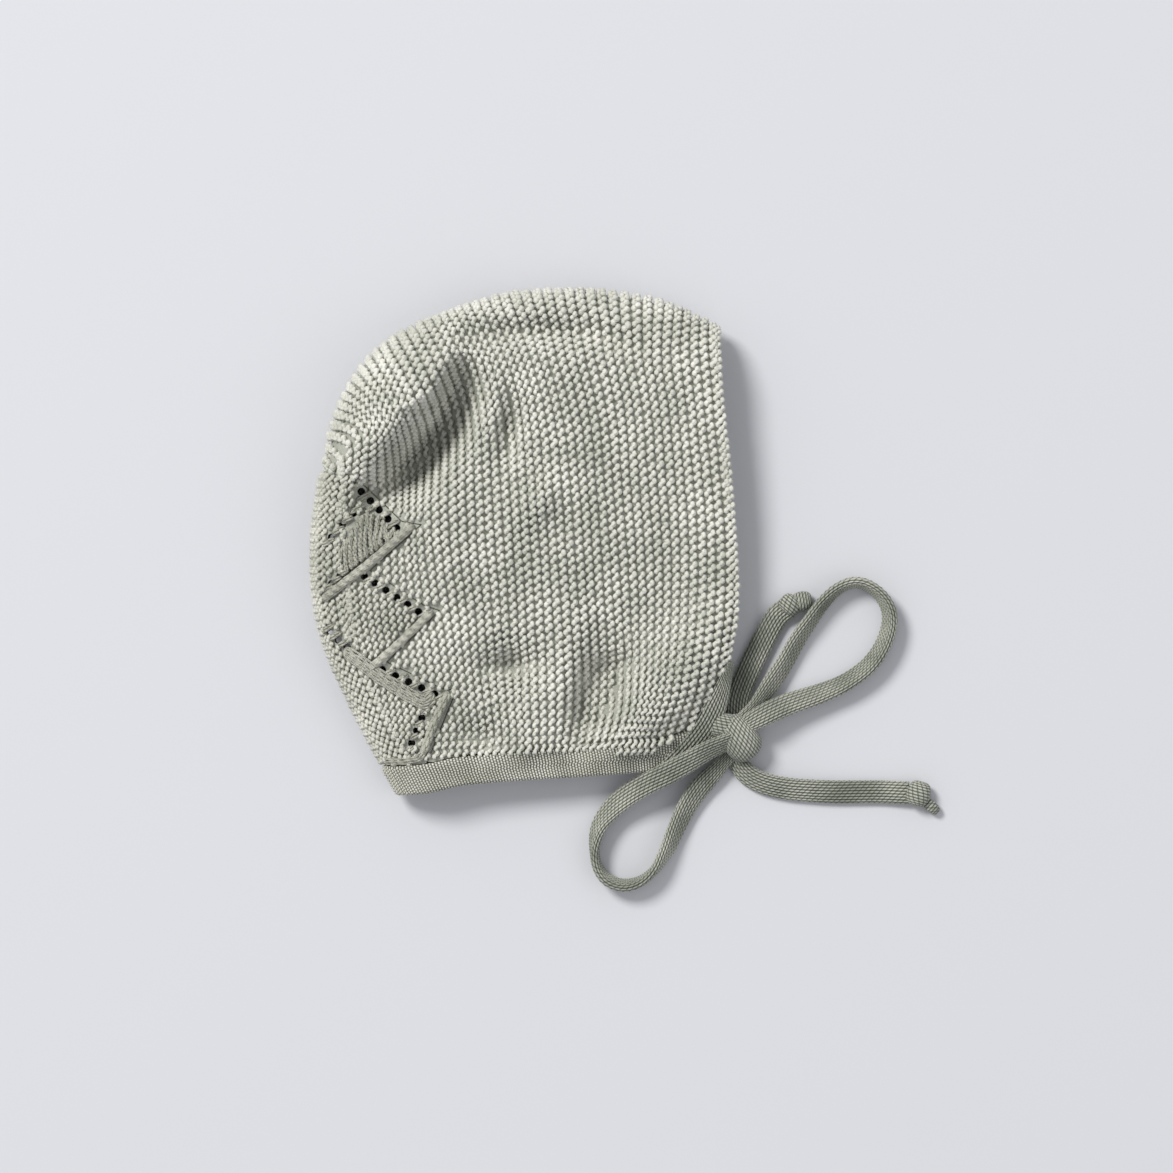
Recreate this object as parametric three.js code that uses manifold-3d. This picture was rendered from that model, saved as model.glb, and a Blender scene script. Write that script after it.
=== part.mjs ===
// A knitted baby bonnet that lies on its side, folded flat along its centre line, with its ties in a bow.
// Millimetres. +X runs from the back of the head to the face edge, +Y from the nape to the crown,
// +Z up from the surface that the bonnet lies on. The origin is under the middle of the hood.
import * as THREE from 'three';
import { mergeVertices } from 'three/addons/utils/BufferGeometryUtils.js';
import Module from 'manifold-3d';

const wasm = await Module();
wasm.setup();

// Driving dimensions of the hood
const hoodDepth = 144;
const hoodHeight = 170;
const crownRise = 34;
const wall = 2.8;
const foldRadius = 14;
const foldMiddle = 0.46;
const pieceGap = 0.3;

// Driving dimensions of the neck band
const bandHeight = 10;
const bandProud = 0.5;
const bandThickness = 3.4;

// Driving dimensions of the lace
const eyeletDiameter = 2.5;
const laceBarDiameter = 2.7;
const laceBarLift = 0.35;
const foldLeftWhole = 2.5;

// Driving dimensions of the ties
const tieWidth = 7.2;
const tieThickness = 2.8;
const loopWidth = 5.0;
const tieStep = 5.5;
const bowKnot = { x: 71.6, y: -65.2, length: 15.0, width: 13.2, height: 11.6 };
const endKnot1 = { x: 131.8, y: -84.2, length: 8.4, width: 7.8, height: 6.4, turn: -20 };
const endKnot2 = { x: 90.9, y: -20.6, length: 9.8, width: 7.4, height: 6.4, turn: 12 };

// Mesh fineness, and the place that the pillow's rings close on, as shares of the hood
const meshCentre = { u: -0.1, v: 0.12 };
const outlineSteps = 72;
const foldRings = 4;
const middleRings = 6;
const edgeSteps = 24;
const eyeletSides = 6;
const laceBarSides = 6;
const laceBarSteps = 7;
const knotSides = 12;
const knotRings = 8;
const tallEnough = 2 * crownRise;

// The hood's folded edge, as shares of its depth and height, from above the face edge
// over the crown and down the back, with the rows marked run_on beyond the open edges
const foldedEdge = [
  { at: 'run_on_face', u: 0.565, v: 0.375 },
  { at: 'face_top', u: 0.458, v: 0.425 },
  { at: 'front_crown', u: 0.316, v: 0.478 },
  { at: 'crown_top', u: 0.116, v: 0.5 },
  { at: 'back_crown', u: -0.106, v: 0.478 },
  { at: 'upper_back', u: -0.331, v: 0.39 },
  { at: 'shoulder', u: -0.417, v: 0.3 },
  { at: 'back_high', u: -0.466, v: 0.182 },
  { at: 'back_middle', u: -0.5, v: -0.008 },
  { at: 'back_low', u: -0.482, v: -0.172 },
  { at: 'above_nape', u: -0.394, v: -0.35 },
  { at: 'nape', u: -0.3, v: -0.497 },
  { at: 'run_on_nape', u: -0.235, v: -0.6 },
  { at: 'run_on_neck', u: 0.1, v: -0.6 },
  { at: 'run_on_chin', u: 0.5, v: -0.53 },
  { at: 'run_on_cheek', u: 0.63, v: -0.3 },
  { at: 'run_on_brow', u: 0.64, v: 0.12 },
];

// The face edge, from the crown to the chin
const faceEdge = [
  { at: 'run_on_crown', u: 0.452, v: 0.6 },
  { at: 'corner', u: 0.456, v: 0.425 },
  { at: 'temple', u: 0.461, v: 0.3 },
  { at: 'eye', u: 0.485, v: 0.1 },
  { at: 'cheek', u: 0.5, v: -0.114 },
  { at: 'jaw', u: 0.48, v: -0.232 },
  { at: 'chin', u: 0.447, v: -0.37 },
  { at: 'run_on_chin', u: 0.44, v: -0.5 },
];

// The lower edge of the neck band, from the nape to the chin
const neckEdge = [
  { at: 'run_on_back', u: -0.6, v: -0.5 },
  { at: 'nape', u: -0.28, v: -0.499 },
  { at: 'behind_ear', u: -0.13, v: -0.477 },
  { at: 'ear', u: 0.08, v: -0.464 },
  { at: 'jaw', u: 0.255, v: -0.455 },
  { at: 'near_chin', u: 0.36, v: -0.436 },
  { at: 'run_on_chin', u: 0.6, v: -0.35 },
];

// How high the upper layer stands at places over the hood, as a share of the crown's rise
const rises = [
  { at: 'crown', u: -0.28, v: 0.27, rise: 1.0 },
  { at: 'top_back', u: -0.07, v: 0.36, rise: 0.83 },
  { at: 'top_front', u: 0.28, v: 0.37, rise: 0.66 },
  { at: 'face_top', u: 0.46, v: 0.42, rise: 0.52 },
  { at: 'middle', u: 0.07, v: 0.06, rise: 0.74 },
  { at: 'brow', u: 0.43, v: 0.08, rise: 0.52 },
  { at: 'cheek', u: 0.43, v: -0.2, rise: 0.38 },
  { at: 'chin', u: 0.44, v: -0.41, rise: 0.14 },
  { at: 'neck', u: 0.07, v: -0.43, rise: 0.37 },
  { at: 'below_ear', u: 0.07, v: -0.24, rise: 0.58 },
  { at: 'nape', u: -0.28, v: -0.46, rise: 0.42 },
  { at: 'back', u: -0.42, v: -0.03, rise: 0.78 },
  { at: 'low_back', u: -0.35, v: -0.27, rise: 0.62 },
];
const riseSpread = 0.19;

// Dents and soft ridges of the upper layer: lengths are shares of the hood's depth,
// turn is in degrees from +X, and deep is a share of the crown's rise, downwards
const folds = [
  { at: 'crown_crease', u: -0.217, v: 0.192, turn: 58, long: 0.15, wide: 0.048, deep: 0.3 },
  { at: 'crown_roll', u: -0.29, v: 0.262, turn: 52, long: 0.17, wide: 0.07, deep: -0.12 },
  { at: 'temple_dimple', u: -0.047, v: 0.202, turn: 80, long: 0.1, wide: 0.035, deep: 0.06 },
  { at: 'middle_ridge', u: 0.023, v: 0.084, turn: 62, long: 0.1, wide: 0.045, deep: -0.06 },
  { at: 'ear_dimple', u: -0.047, v: -0.245, turn: 0, long: 0.085, wide: 0.045, deep: 0.09 },
  { at: 'neck_pleat', u: 0.146, v: -0.291, turn: 76, long: 0.12, wide: 0.042, deep: 0.18 },
  { at: 'neck_roll', u: 0.256, v: -0.311, turn: 60, long: 0.1, wide: 0.06, deep: -0.1 },
  { at: 'crown_hem', u: 0.035, v: 0.429, turn: 0, long: 0.2, wide: 0.03, deep: 0.06 },
  { at: 'lace_hollow', u: -0.349, v: 0.074, turn: -38, long: 0.1, wide: 0.035, deep: 0.09 },
];

// The jagged front edge of the lace panel, from the crown end to the neck band
const laceEdge = [
  { at: 'back_start', u: -0.56, v: 0.16 },
  { at: 'first_run', u: -0.385, v: 0.12 },
  { at: 'first_bend', u: -0.285, v: 0.04 },
  { at: 'first_tooth', u: -0.242, v: 0.034 },
  { at: 'first_notch', u: -0.36, v: -0.055 },
  { at: 'second_bend', u: -0.233, v: -0.125 },
  { at: 'second_tooth', u: -0.2, v: -0.134 },
  { at: 'second_notch', u: -0.322, v: -0.235 },
  { at: 'third_bend', u: -0.194, v: -0.288 },
  { at: 'third_tooth', u: -0.162, v: -0.292 },
  { at: 'neck_end', u: -0.252, v: -0.48 },
];

// Runs of eyelets in the lace, each evenly spaced from its first hole to its last
const eyeletRuns = [
  { at: 'first_tooth', fromU: -0.38, fromV: 0.1, toU: -0.297, toV: 0.028, holes: 5 },
  { at: 'first_leaf', fromU: -0.397, fromV: 0.057, toU: -0.448, toV: 0.01, holes: 3 },
  { at: 'over_first_bar', fromU: -0.329, fromV: 0.007, toU: -0.448, toV: -0.081, holes: 7 },
  { at: 'second_tooth', fromU: -0.372, fromV: -0.066, toU: -0.247, toV: -0.136, holes: 6 },
  { at: 'second_leaf', fromU: -0.454, fromV: -0.178, toU: -0.392, toV: -0.219, holes: 4 },
  { at: 'third_tooth', fromU: -0.331, fromV: -0.25, toU: -0.21, toV: -0.298, holes: 5 },
  { at: 'third_bar', fromU: -0.24, fromV: -0.345, toU: -0.264, toV: -0.395, holes: 3 },
];

// Raised bars of twisted stitches along the teeth
const laceBars = [
  { at: 'first_tooth', fromU: -0.262, fromV: 0.03, toU: -0.467, toV: -0.113 },
  { at: 'second_tooth', fromU: -0.216, fromV: -0.135, toU: -0.363, toV: -0.25 },
  { at: 'third_tooth', fromU: -0.179, fromV: -0.296, toU: -0.238, toV: -0.411 },
];

// The ties' centre lines, in millimetres: where each stretch of the tape lies
const tieRoutes = {
  tie_1_loop: [
    [71.8, -62.6, 8.6], [78.6, -58.6, 8.4], [87.3, -54.6, 5.6], [99.5, -50.5, 2.6], [107.7, -46.9, 1.8],
    [115.0, -41.6, 1.6], [119.8, -35.1, 1.6], [122.3, -27.8, 1.6], [121.9, -22.1, 1.6], [119.0, -17.3, 1.6],
    [114.2, -14.0, 1.6], [109.3, -13.6, 1.6], [104.4, -16.0, 1.6], [100.0, -20.4, 1.6], [95.7, -26.4, 1.6],
    [91.4, -32.9, 1.6], [87.2, -40.4, 2.2], [82.6, -47.4, 3.6], [78.2, -53.4, 4.9], [72.6, -60.4, 5.2],
  ],
  tie_1_tail: [
    [72.6, -67.4, 2.4], [71.2, -72.8, 1.7], [74.2, -77.5, 1.5], [79.6, -80.7, 1.5], [87.3, -82.6, 1.5],
    [95.5, -83.4, 1.5], [103.6, -83.8, 1.5], [111.7, -83.8, 1.5], [119.8, -83.8, 1.5], [129.6, -84.2, 2.2],
  ],
  tie_2_loop: [
    [68.4, -65.4, 9.6], [62.2, -69.2, 10.6], [54.9, -73.3, 11.2], [47.6, -77.3, 11.7], [41.1, -80.6, 10.0],
    [34.6, -84.6, 6.2], [28.9, -89.5, 2.8], [24.8, -95.2, 1.7], [23.2, -101.7, 1.6], [24.0, -108.2, 1.6],
    [27.3, -113.1, 1.6], [32.9, -115.1, 1.6], [38.6, -113.8, 1.6], [43.5, -109.8, 1.6], [47.6, -103.3, 1.6],
    [50.8, -96.0, 1.6], [54.3, -88.7, 1.6], [59.0, -82.0, 1.7], [64.4, -76.2, 3.6], [70.0, -69.8, 6.4],
  ],
  tie_2_tail: [
    [71.6, -62.4, 1.6], [71.2, -56.8, 1.5], [72.0, -51.0, 1.5], [75.4, -42.4, 1.5], [80.0, -32.9, 1.5],
    [84.4, -25.2, 1.5], [88.4, -21.6, 2.2],
  ],
};

const yarn = {
  garter: new THREE.MeshStandardMaterial({ color: 0x9d9c8d, roughness: 0.92, metalness: 0 }),
  lace: new THREE.MeshStandardMaterial({ color: 0xa3a293, roughness: 0.92, metalness: 0 }),
  band: new THREE.MeshStandardMaterial({ color: 0x98988a, roughness: 0.9, metalness: 0 }),
  tie: new THREE.MeshStandardMaterial({ color: 0x85877b, roughness: 0.85, metalness: 0 }),
};

function place(row) {
  return new THREE.Vector2(row.u * hoodDepth, row.v * hoodHeight);
}

function solidFrom(geometry) {
  const bare = geometry.clone();
  bare.deleteAttribute('normal');
  bare.deleteAttribute('uv');
  const merged = mergeVertices(bare, 1e-4);
  return new wasm.Manifold(new wasm.Mesh({
    numProp: 3,
    vertProperties: new Float32Array(merged.attributes.position.array),
    triVerts: new Uint32Array(merged.index.array),
  }));
}

function geometryFrom(solid) {
  const mesh = solid.getMesh();
  const geometry = new THREE.BufferGeometry();
  geometry.setAttribute('position', new THREE.BufferAttribute(mesh.vertProperties, mesh.numProp));
  geometry.setIndex(new THREE.BufferAttribute(mesh.triVerts, 1));
  return geometry;
}

// A closed solid between two heights with the given outline in plan
function prism(points, low = -tallEnough, high = tallEnough) {
  const geometry = new THREE.ExtrudeGeometry(new THREE.Shape(points), {
    depth: high - low,
    steps: 1,
    bevelEnabled: false,
  });
  return solidFrom(geometry.translate(0, 0, low));
}

// How high the upper layer stands over a place, its folds included
function topHeight(x, y) {
  const spread = riseSpread * hoodHeight;
  let weights = 0;
  let sum = 0;
  for (const row of rises) {
    const post = place(row);
    const weight = Math.exp(-((x - post.x) ** 2 + (y - post.y) ** 2) / spread ** 2);
    weights += weight;
    sum += weight * row.rise;
  }
  let height = (sum / weights) * crownRise;
  for (const row of folds) {
    const middle = place(row);
    const turn = THREE.MathUtils.degToRad(row.turn);
    const along = (x - middle.x) * Math.cos(turn) + (y - middle.y) * Math.sin(turn);
    const across = (y - middle.y) * Math.cos(turn) - (x - middle.x) * Math.sin(turn);
    const shape = (along / (row.long * hoodDepth)) ** 2 + (across / (row.wide * hoodDepth)) ** 2;
    height -= row.deep * crownRise * Math.exp(-shape);
  }
  return height;
}

// Points and inward normals evenly spaced round the folded edge and its run-on
function outlineRing() {
  const corners = foldedEdge.map((row) => new THREE.Vector3(row.u * hoodDepth, row.v * hoodHeight, 0));
  const curve = new THREE.CatmullRomCurve3(corners, true, 'centripetal');
  const ring = [];
  for (let i = 0; i < outlineSteps; i++) {
    const point = curve.getPointAt(i / outlineSteps);
    const tangent = curve.getTangentAt(i / outlineSteps);
    ring.push({ x: point.x, y: point.y, inX: -tangent.y, inY: tangent.x });
  }
  return ring;
}

// A pillow-shaped solid over the outline, its edge drawn in, its top lowered and its bottom raised
function pillow(drawnIn, lowered, raised) {
  const ring = outlineRing();
  const centre = place(meshCentre);
  const radius = foldRadius - drawnIn;
  const points = [];
  const rings = [];
  for (let r = 0; r < foldRings + middleRings; r++) {
    const bend = Math.min(r / foldRings, 1) * (Math.PI / 2);
    const inset = drawnIn + radius * (1 - Math.cos(bend));
    const toMiddle = Math.max(r - foldRings, 0) / middleRings;
    const upper = [];
    const lower = [];
    for (const spot of ring) {
      const edgeX = spot.x + spot.inX * inset;
      const edgeY = spot.y + spot.inY * inset;
      const x = edgeX + (centre.x - edgeX) * toMiddle;
      const y = edgeY + (centre.y - edgeY) * toMiddle;
      const middle = topHeight(spot.x, spot.y) * foldMiddle;
      const top = topHeight(x, y) - lowered;
      const turned = Math.sin(bend);
      upper.push(points.push([x, y, middle + (top - middle) * turned]) - 1);
      if (r === 0) lower.push(upper[upper.length - 1]);
      else lower.push(points.push([x, y, middle - (middle - raised) * turned]) - 1);
    }
    rings.push({ upper, lower });
  }
  const faces = [];
  for (let r = 0; r + 1 < rings.length; r++) {
    for (let i = 0; i < outlineSteps; i++) {
      const j = (i + 1) % outlineSteps;
      const { upper: a, lower: c } = rings[r];
      const { upper: b, lower: d } = rings[r + 1];
      faces.push(a[i], a[j], b[j], a[i], b[j], b[i]);
      faces.push(c[j], c[i], d[i], c[j], d[i], d[j]);
    }
  }
  const last = rings[rings.length - 1];
  const crest = points.push([centre.x, centre.y, topHeight(centre.x, centre.y) - lowered]) - 1;
  const foot = points.push([centre.x, centre.y, raised]) - 1;
  for (let i = 0; i < outlineSteps; i++) {
    const j = (i + 1) % outlineSteps;
    faces.push(last.upper[i], last.upper[j], crest, last.lower[j], last.lower[i], foot);
  }
  const geometry = new THREE.BufferGeometry();
  geometry.setAttribute('position', new THREE.Float32BufferAttribute(points.flat(), 3));
  geometry.setIndex(faces);
  return solidFrom(geometry);
}

function edgePoints(rows, steps, moveX = 0, moveY = 0) {
  const curve = new THREE.SplineCurve(rows.map(place));
  return curve.getPoints(steps).map((p) => new THREE.Vector2(p.x + moveX, p.y + moveY));
}

// Everything behind the face edge, or behind a line that runs beyond it
function behindFace(beyond = 0) {
  const edge = edgePoints(faceEdge, edgeSteps, beyond, 0);
  const back = -hoodDepth;
  const top = new THREE.Vector2(back, edge[0].y);
  const bottom = new THREE.Vector2(back, edge[edge.length - 1].y);
  return prism([top, ...edge, bottom]);
}

// Everything above the neck edge, or above a line that runs higher than it
function aboveNeck(higher = 0) {
  const edge = edgePoints(neckEdge, edgeSteps, 0, higher);
  const top = hoodHeight;
  const right = new THREE.Vector2(edge[edge.length - 1].x, top);
  const left = new THREE.Vector2(edge[0].x, top);
  return prism([...edge, right, left]);
}

// A line through the same corners, moved to its left by a distance
function movedLine(corners, distance) {
  return corners.map((corner, i) => {
    const before = corners[Math.max(i - 1, 0)];
    const after = corners[Math.min(i + 1, corners.length - 1)];
    const into = (i > 0 ? corner.clone().sub(before) : after.clone().sub(corner)).normalize();
    const out = (i < corners.length - 1 ? after.clone().sub(corner) : into.clone()).normalize();
    const share = distance / (1 + into.dot(out));
    return new THREE.Vector2(corner.x - (into.y + out.y) * share, corner.y + (into.x + out.x) * share);
  });
}

// Everything behind the jagged lace edge, or behind a line that runs before it
function lacePlan(before = 0) {
  const edge = movedLine(laceEdge.map(place), before);
  const last = edge[edge.length - 1];
  return prism([...edge, new THREE.Vector2(-hoodDepth, last.y), new THREE.Vector2(-hoodDepth, edge[0].y)]);
}

// The knitted wall over the head: a pillow with a smaller pillow taken out
function foldedWall(thickness, proud) {
  const outside = pillow(-proud, -proud, 0);
  const inside = pillow(thickness - proud, thickness - proud, thickness);
  return outside.subtract(inside);
}

// The heights of the upper and lower faces of the hood at a place, its folded edge included
function facesAt(ring, x, y) {
  let nearest = ring[0];
  let distance = Infinity;
  for (const spot of ring) {
    const away = Math.hypot(x - spot.x, y - spot.y);
    if (away < distance) {
      nearest = spot;
      distance = away;
    }
  }
  const inside = (x - nearest.x) * nearest.inX + (y - nearest.y) * nearest.inY;
  const share = THREE.MathUtils.clamp(inside / foldRadius, 0, 1);
  const rise = Math.sqrt(1 - (1 - share) ** 2);
  const middle = topHeight(nearest.x, nearest.y) * foldMiddle;
  return { middle, upper: middle + (topHeight(x, y) - middle) * rise, lower: middle * (1 - rise) };
}

function roundSection(diameter, sides) {
  const shape = new THREE.Shape();
  for (let i = 0; i < sides; i++) {
    const turn = (2 * Math.PI * i) / sides;
    const x = (diameter / 2) * Math.cos(turn);
    const y = (diameter / 2) * Math.sin(turn);
    if (i === 0) shape.moveTo(x, y);
    else shape.lineTo(x, y);
  }
  return shape;
}

// Both rows of eyelets through the lace, one through each layer, with the fold left whole between
function eyelets(ring) {
  const holes = [];
  for (const run of eyeletRuns) {
    for (let i = 0; i < run.holes; i++) {
      const share = i / (run.holes - 1);
      const x = THREE.MathUtils.lerp(run.fromU, run.toU, share) * hoodDepth;
      const y = THREE.MathUtils.lerp(run.fromV, run.toV, share) * hoodHeight;
      const { middle } = facesAt(ring, x, y);
      const outline = roundSection(eyeletDiameter, eyeletSides).getPoints();
      const placed = outline.map((p) => new THREE.Vector2(p.x + x, p.y + y));
      holes.push(prism(placed, middle + foldLeftWhole, tallEnough));
      holes.push(prism(placed, -tallEnough, middle - foldLeftWhole));
    }
  }
  return holes;
}

function laceBar(ring, row, side) {
  const spots = [];
  for (let i = 0; i <= laceBarSteps; i++) {
    const x = THREE.MathUtils.lerp(row.fromU, row.toU, i / laceBarSteps) * hoodDepth;
    const y = THREE.MathUtils.lerp(row.fromV, row.toV, i / laceBarSteps) * hoodHeight;
    const faces = facesAt(ring, x, y);
    const z = side === 'upper' ? faces.upper + laceBarLift : faces.lower - laceBarLift;
    spots.push(new THREE.Vector3(x, y, z));
  }
  const extrudePath = new THREE.CatmullRomCurve3(spots);
  const section = roundSection(laceBarDiameter, laceBarSides);
  const options = { extrudePath, steps: laceBarSteps, bevelEnabled: false };
  return solidFrom(new THREE.ExtrudeGeometry(section, options));
}

function hoodBody() {
  return foldedWall(wall, 0)
    .intersect(behindFace())
    .intersect(aboveNeck(bandHeight + pieceGap))
    .subtract(lacePlan(pieceGap));
}

function laceBack() {
  const ring = outlineRing();
  let panel = foldedWall(wall, 0).intersect(lacePlan()).intersect(aboveNeck(bandHeight + pieceGap));
  for (const hole of eyelets(ring)) panel = panel.subtract(hole);
  for (const row of laceBars) {
    panel = panel.add(laceBar(ring, row, 'upper')).add(laceBar(ring, row, 'lower'));
  }
  const belowFloor = new THREE.BoxGeometry(2 * hoodDepth, 2 * hoodHeight, tallEnough);
  return panel.subtract(solidFrom(belowFloor.translate(0, 0, -tallEnough / 2)));
}

function neckBand() {
  return foldedWall(bandThickness, bandProud)
    .intersect(behindFace())
    .intersect(aboveNeck())
    .subtract(aboveNeck(bandHeight));
}

// A rounded knot that lies on the surface, or the same knot grown all round
function knot(row, grown = 0) {
  const geometry = new THREE.SphereGeometry(0.5, knotSides, knotRings);
  geometry.scale(row.length + 2 * grown, row.width + 2 * grown, row.height + 2 * grown);
  geometry.rotateZ(THREE.MathUtils.degToRad(row.turn ?? 0));
  return solidFrom(geometry.translate(row.x, row.y, row.height / 2));
}

// A flat knitted tape along a route, ending at the faces of the knots that it runs into
function tape(route, width, knots) {
  const halfThick = tieThickness / 2;
  const halfWide = width / 2;
  const corner = 0.55 * halfThick;
  const section = new THREE.Shape([
    new THREE.Vector2(halfThick, -halfWide + 2 * corner),
    new THREE.Vector2(halfThick, halfWide - 2 * corner),
    new THREE.Vector2(halfThick - corner, halfWide - 0.5 * corner),
    new THREE.Vector2(0, halfWide),
    new THREE.Vector2(-halfThick + corner, halfWide - 0.5 * corner),
    new THREE.Vector2(-halfThick, halfWide - 2 * corner),
    new THREE.Vector2(-halfThick, -halfWide + 2 * corner),
    new THREE.Vector2(-halfThick + corner, -halfWide + 0.5 * corner),
    new THREE.Vector2(0, -halfWide),
    new THREE.Vector2(halfThick - corner, -halfWide + 0.5 * corner),
  ]);
  const spots = route.map(([x, y, z]) => new THREE.Vector3(x, y, z));
  const extrudePath = new THREE.CatmullRomCurve3(spots, false, 'centripetal');
  const steps = Math.ceil(extrudePath.getLength() / tieStep);
  let solid = solidFrom(new THREE.ExtrudeGeometry(section, { extrudePath, steps, bevelEnabled: false }));
  for (const row of knots) solid = solid.subtract(knot(row, pieceGap));
  return solid;
}

function bow() {
  return knot(bowKnot).subtract(behindFace(pieceGap).intersect(aboveNeck(-pieceGap)));
}

function piece(name, solid, material) {
  const mesh = new THREE.Mesh(geometryFrom(solid), material);
  mesh.name = name;
  return mesh;
}

const bonnet = new THREE.Group();
bonnet.add(
  piece('hood_body', hoodBody(), yarn.garter),
  piece('lace_back', laceBack(), yarn.lace),
  piece('neck_band', neckBand(), yarn.band),
);

const bowAndTies = new THREE.Group();
bowAndTies.add(
  piece('bow_knot', bow(), yarn.tie),
  piece('tie_1_loop', tape(tieRoutes.tie_1_loop, loopWidth, [bowKnot]), yarn.tie),
  piece('tie_1_tail', tape(tieRoutes.tie_1_tail, tieWidth, [bowKnot, endKnot1]), yarn.tie),
  piece('tie_1_end_knot', knot(endKnot1), yarn.tie),
  piece('tie_2_loop', tape(tieRoutes.tie_2_loop, loopWidth, [bowKnot]), yarn.tie),
  piece('tie_2_tail', tape(tieRoutes.tie_2_tail, tieWidth, [bowKnot, endKnot2]), yarn.tie),
  piece('tie_2_end_knot', knot(endKnot2), yarn.tie),
);
bonnet.add(bowAndTies);

export default bonnet;
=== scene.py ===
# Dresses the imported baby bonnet: its knitted rows, its lace, its neck band and its bow of knitted tape.
import math

import bmesh
import bpy
import numpy as np
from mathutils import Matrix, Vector


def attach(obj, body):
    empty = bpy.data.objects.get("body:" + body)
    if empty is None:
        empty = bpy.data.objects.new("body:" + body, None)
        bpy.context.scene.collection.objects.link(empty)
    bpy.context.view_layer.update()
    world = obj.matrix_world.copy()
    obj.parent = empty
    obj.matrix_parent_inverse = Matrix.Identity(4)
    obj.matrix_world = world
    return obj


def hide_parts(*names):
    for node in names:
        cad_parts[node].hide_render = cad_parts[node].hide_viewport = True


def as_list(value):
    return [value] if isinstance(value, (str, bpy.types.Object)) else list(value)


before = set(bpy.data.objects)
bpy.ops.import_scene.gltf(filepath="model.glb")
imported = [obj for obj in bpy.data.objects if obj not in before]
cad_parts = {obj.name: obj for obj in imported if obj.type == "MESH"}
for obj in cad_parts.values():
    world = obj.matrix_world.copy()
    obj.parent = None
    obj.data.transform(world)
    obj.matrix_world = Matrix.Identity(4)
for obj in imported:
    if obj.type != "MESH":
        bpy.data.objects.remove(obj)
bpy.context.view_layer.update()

MM = 0.001
RANDOM = np.random.default_rng(41)

# The hood's sizes in millimetres, the same as the part's own
HOOD_DEPTH = 144.0
HOOD_HEIGHT = 170.0
CROWN_RISE = 34.0
WALL = 2.8
FOLD_RADIUS = 14.0
FOLD_MIDDLE = 0.46
LEAST_HEIGHT = 6.2
ABOVE_FLOOR = 0.04
BAND_HEIGHT = 10.0
PIECE_GAP = 0.3
TAPE_WIDTH = 7.4
TAPE_THICKNESS = 2.9
TAPE_WALES = 18
TAPE_STEP = 0.42
TAPE_RELIEF = 0.5

# The linings lie this deep under the hood's skin and end this high above the neck edge
LINING_DEPTH = 1.5
LINING_END = BAND_HEIGHT + 0.2

# Cutting shapes reach this far above and below the hood
CUT_REACH = 80.0

# The hood's folded edge as shares of its depth and height, with run-ons beyond the open edges
FOLDED_EDGE = [
    (0.565, 0.375), (0.458, 0.425), (0.316, 0.478), (0.116, 0.5), (-0.106, 0.478), (-0.331, 0.39),
    (-0.417, 0.3), (-0.466, 0.182), (-0.5, -0.008), (-0.482, -0.172), (-0.394, -0.35), (-0.3, -0.497),
    (-0.235, -0.6), (0.1, -0.6), (0.5, -0.53), (0.63, -0.3), (0.64, 0.12),
]

# The face edge, the neck edge and the lace panel's jagged edge, as shares of depth and height
FACE_EDGE = [
    (0.452, 0.6), (0.456, 0.425), (0.461, 0.3), (0.485, 0.1), (0.5, -0.114), (0.48, -0.232),
    (0.447, -0.37), (0.44, -0.5),
]
NECK_EDGE = [
    (-0.6, -0.5), (-0.28, -0.499), (-0.13, -0.477), (0.08, -0.464), (0.255, -0.455), (0.36, -0.436),
    (0.6, -0.35),
]
LACE_EDGE = [
    (-0.56, 0.16), (-0.385, 0.12), (-0.285, 0.04), (-0.242, 0.034), (-0.36, -0.055), (-0.233, -0.125),
    (-0.2, -0.134), (-0.322, -0.235), (-0.194, -0.288), (-0.162, -0.292), (-0.252, -0.48),
]

# How high the upper layer stands, as a share of the crown's rise: u, v, rise
RISES = np.array([
    (-0.28, 0.27, 1.0), (-0.07, 0.36, 0.83), (0.28, 0.37, 0.66), (0.46, 0.42, 0.52), (0.07, 0.06, 0.74),
    (0.43, 0.08, 0.52), (0.43, -0.2, 0.38), (0.44, -0.41, 0.14), (0.07, -0.43, 0.37), (0.07, -0.24, 0.58),
    (-0.28, -0.46, 0.42), (-0.42, -0.03, 0.78), (-0.35, -0.27, 0.62),
])
RISE_SPREAD = 0.19

# Dents and soft ridges of the upper layer: u, v, turn in degrees, long, wide, deep
FOLDS = [
    (-0.217, 0.192, 58, 0.15, 0.048, 0.3), (-0.29, 0.262, 52, 0.17, 0.07, -0.12),
    (-0.047, 0.202, 80, 0.1, 0.035, 0.06), (0.023, 0.084, 62, 0.1, 0.045, -0.06),
    (-0.047, -0.245, 0, 0.085, 0.045, 0.09), (0.146, -0.291, 76, 0.12, 0.042, 0.18),
    (0.256, -0.311, 60, 0.1, 0.06, -0.1), (0.035, 0.429, 0, 0.2, 0.03, 0.06),
    (-0.349, 0.074, -38, 0.1, 0.035, 0.09),
]

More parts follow.
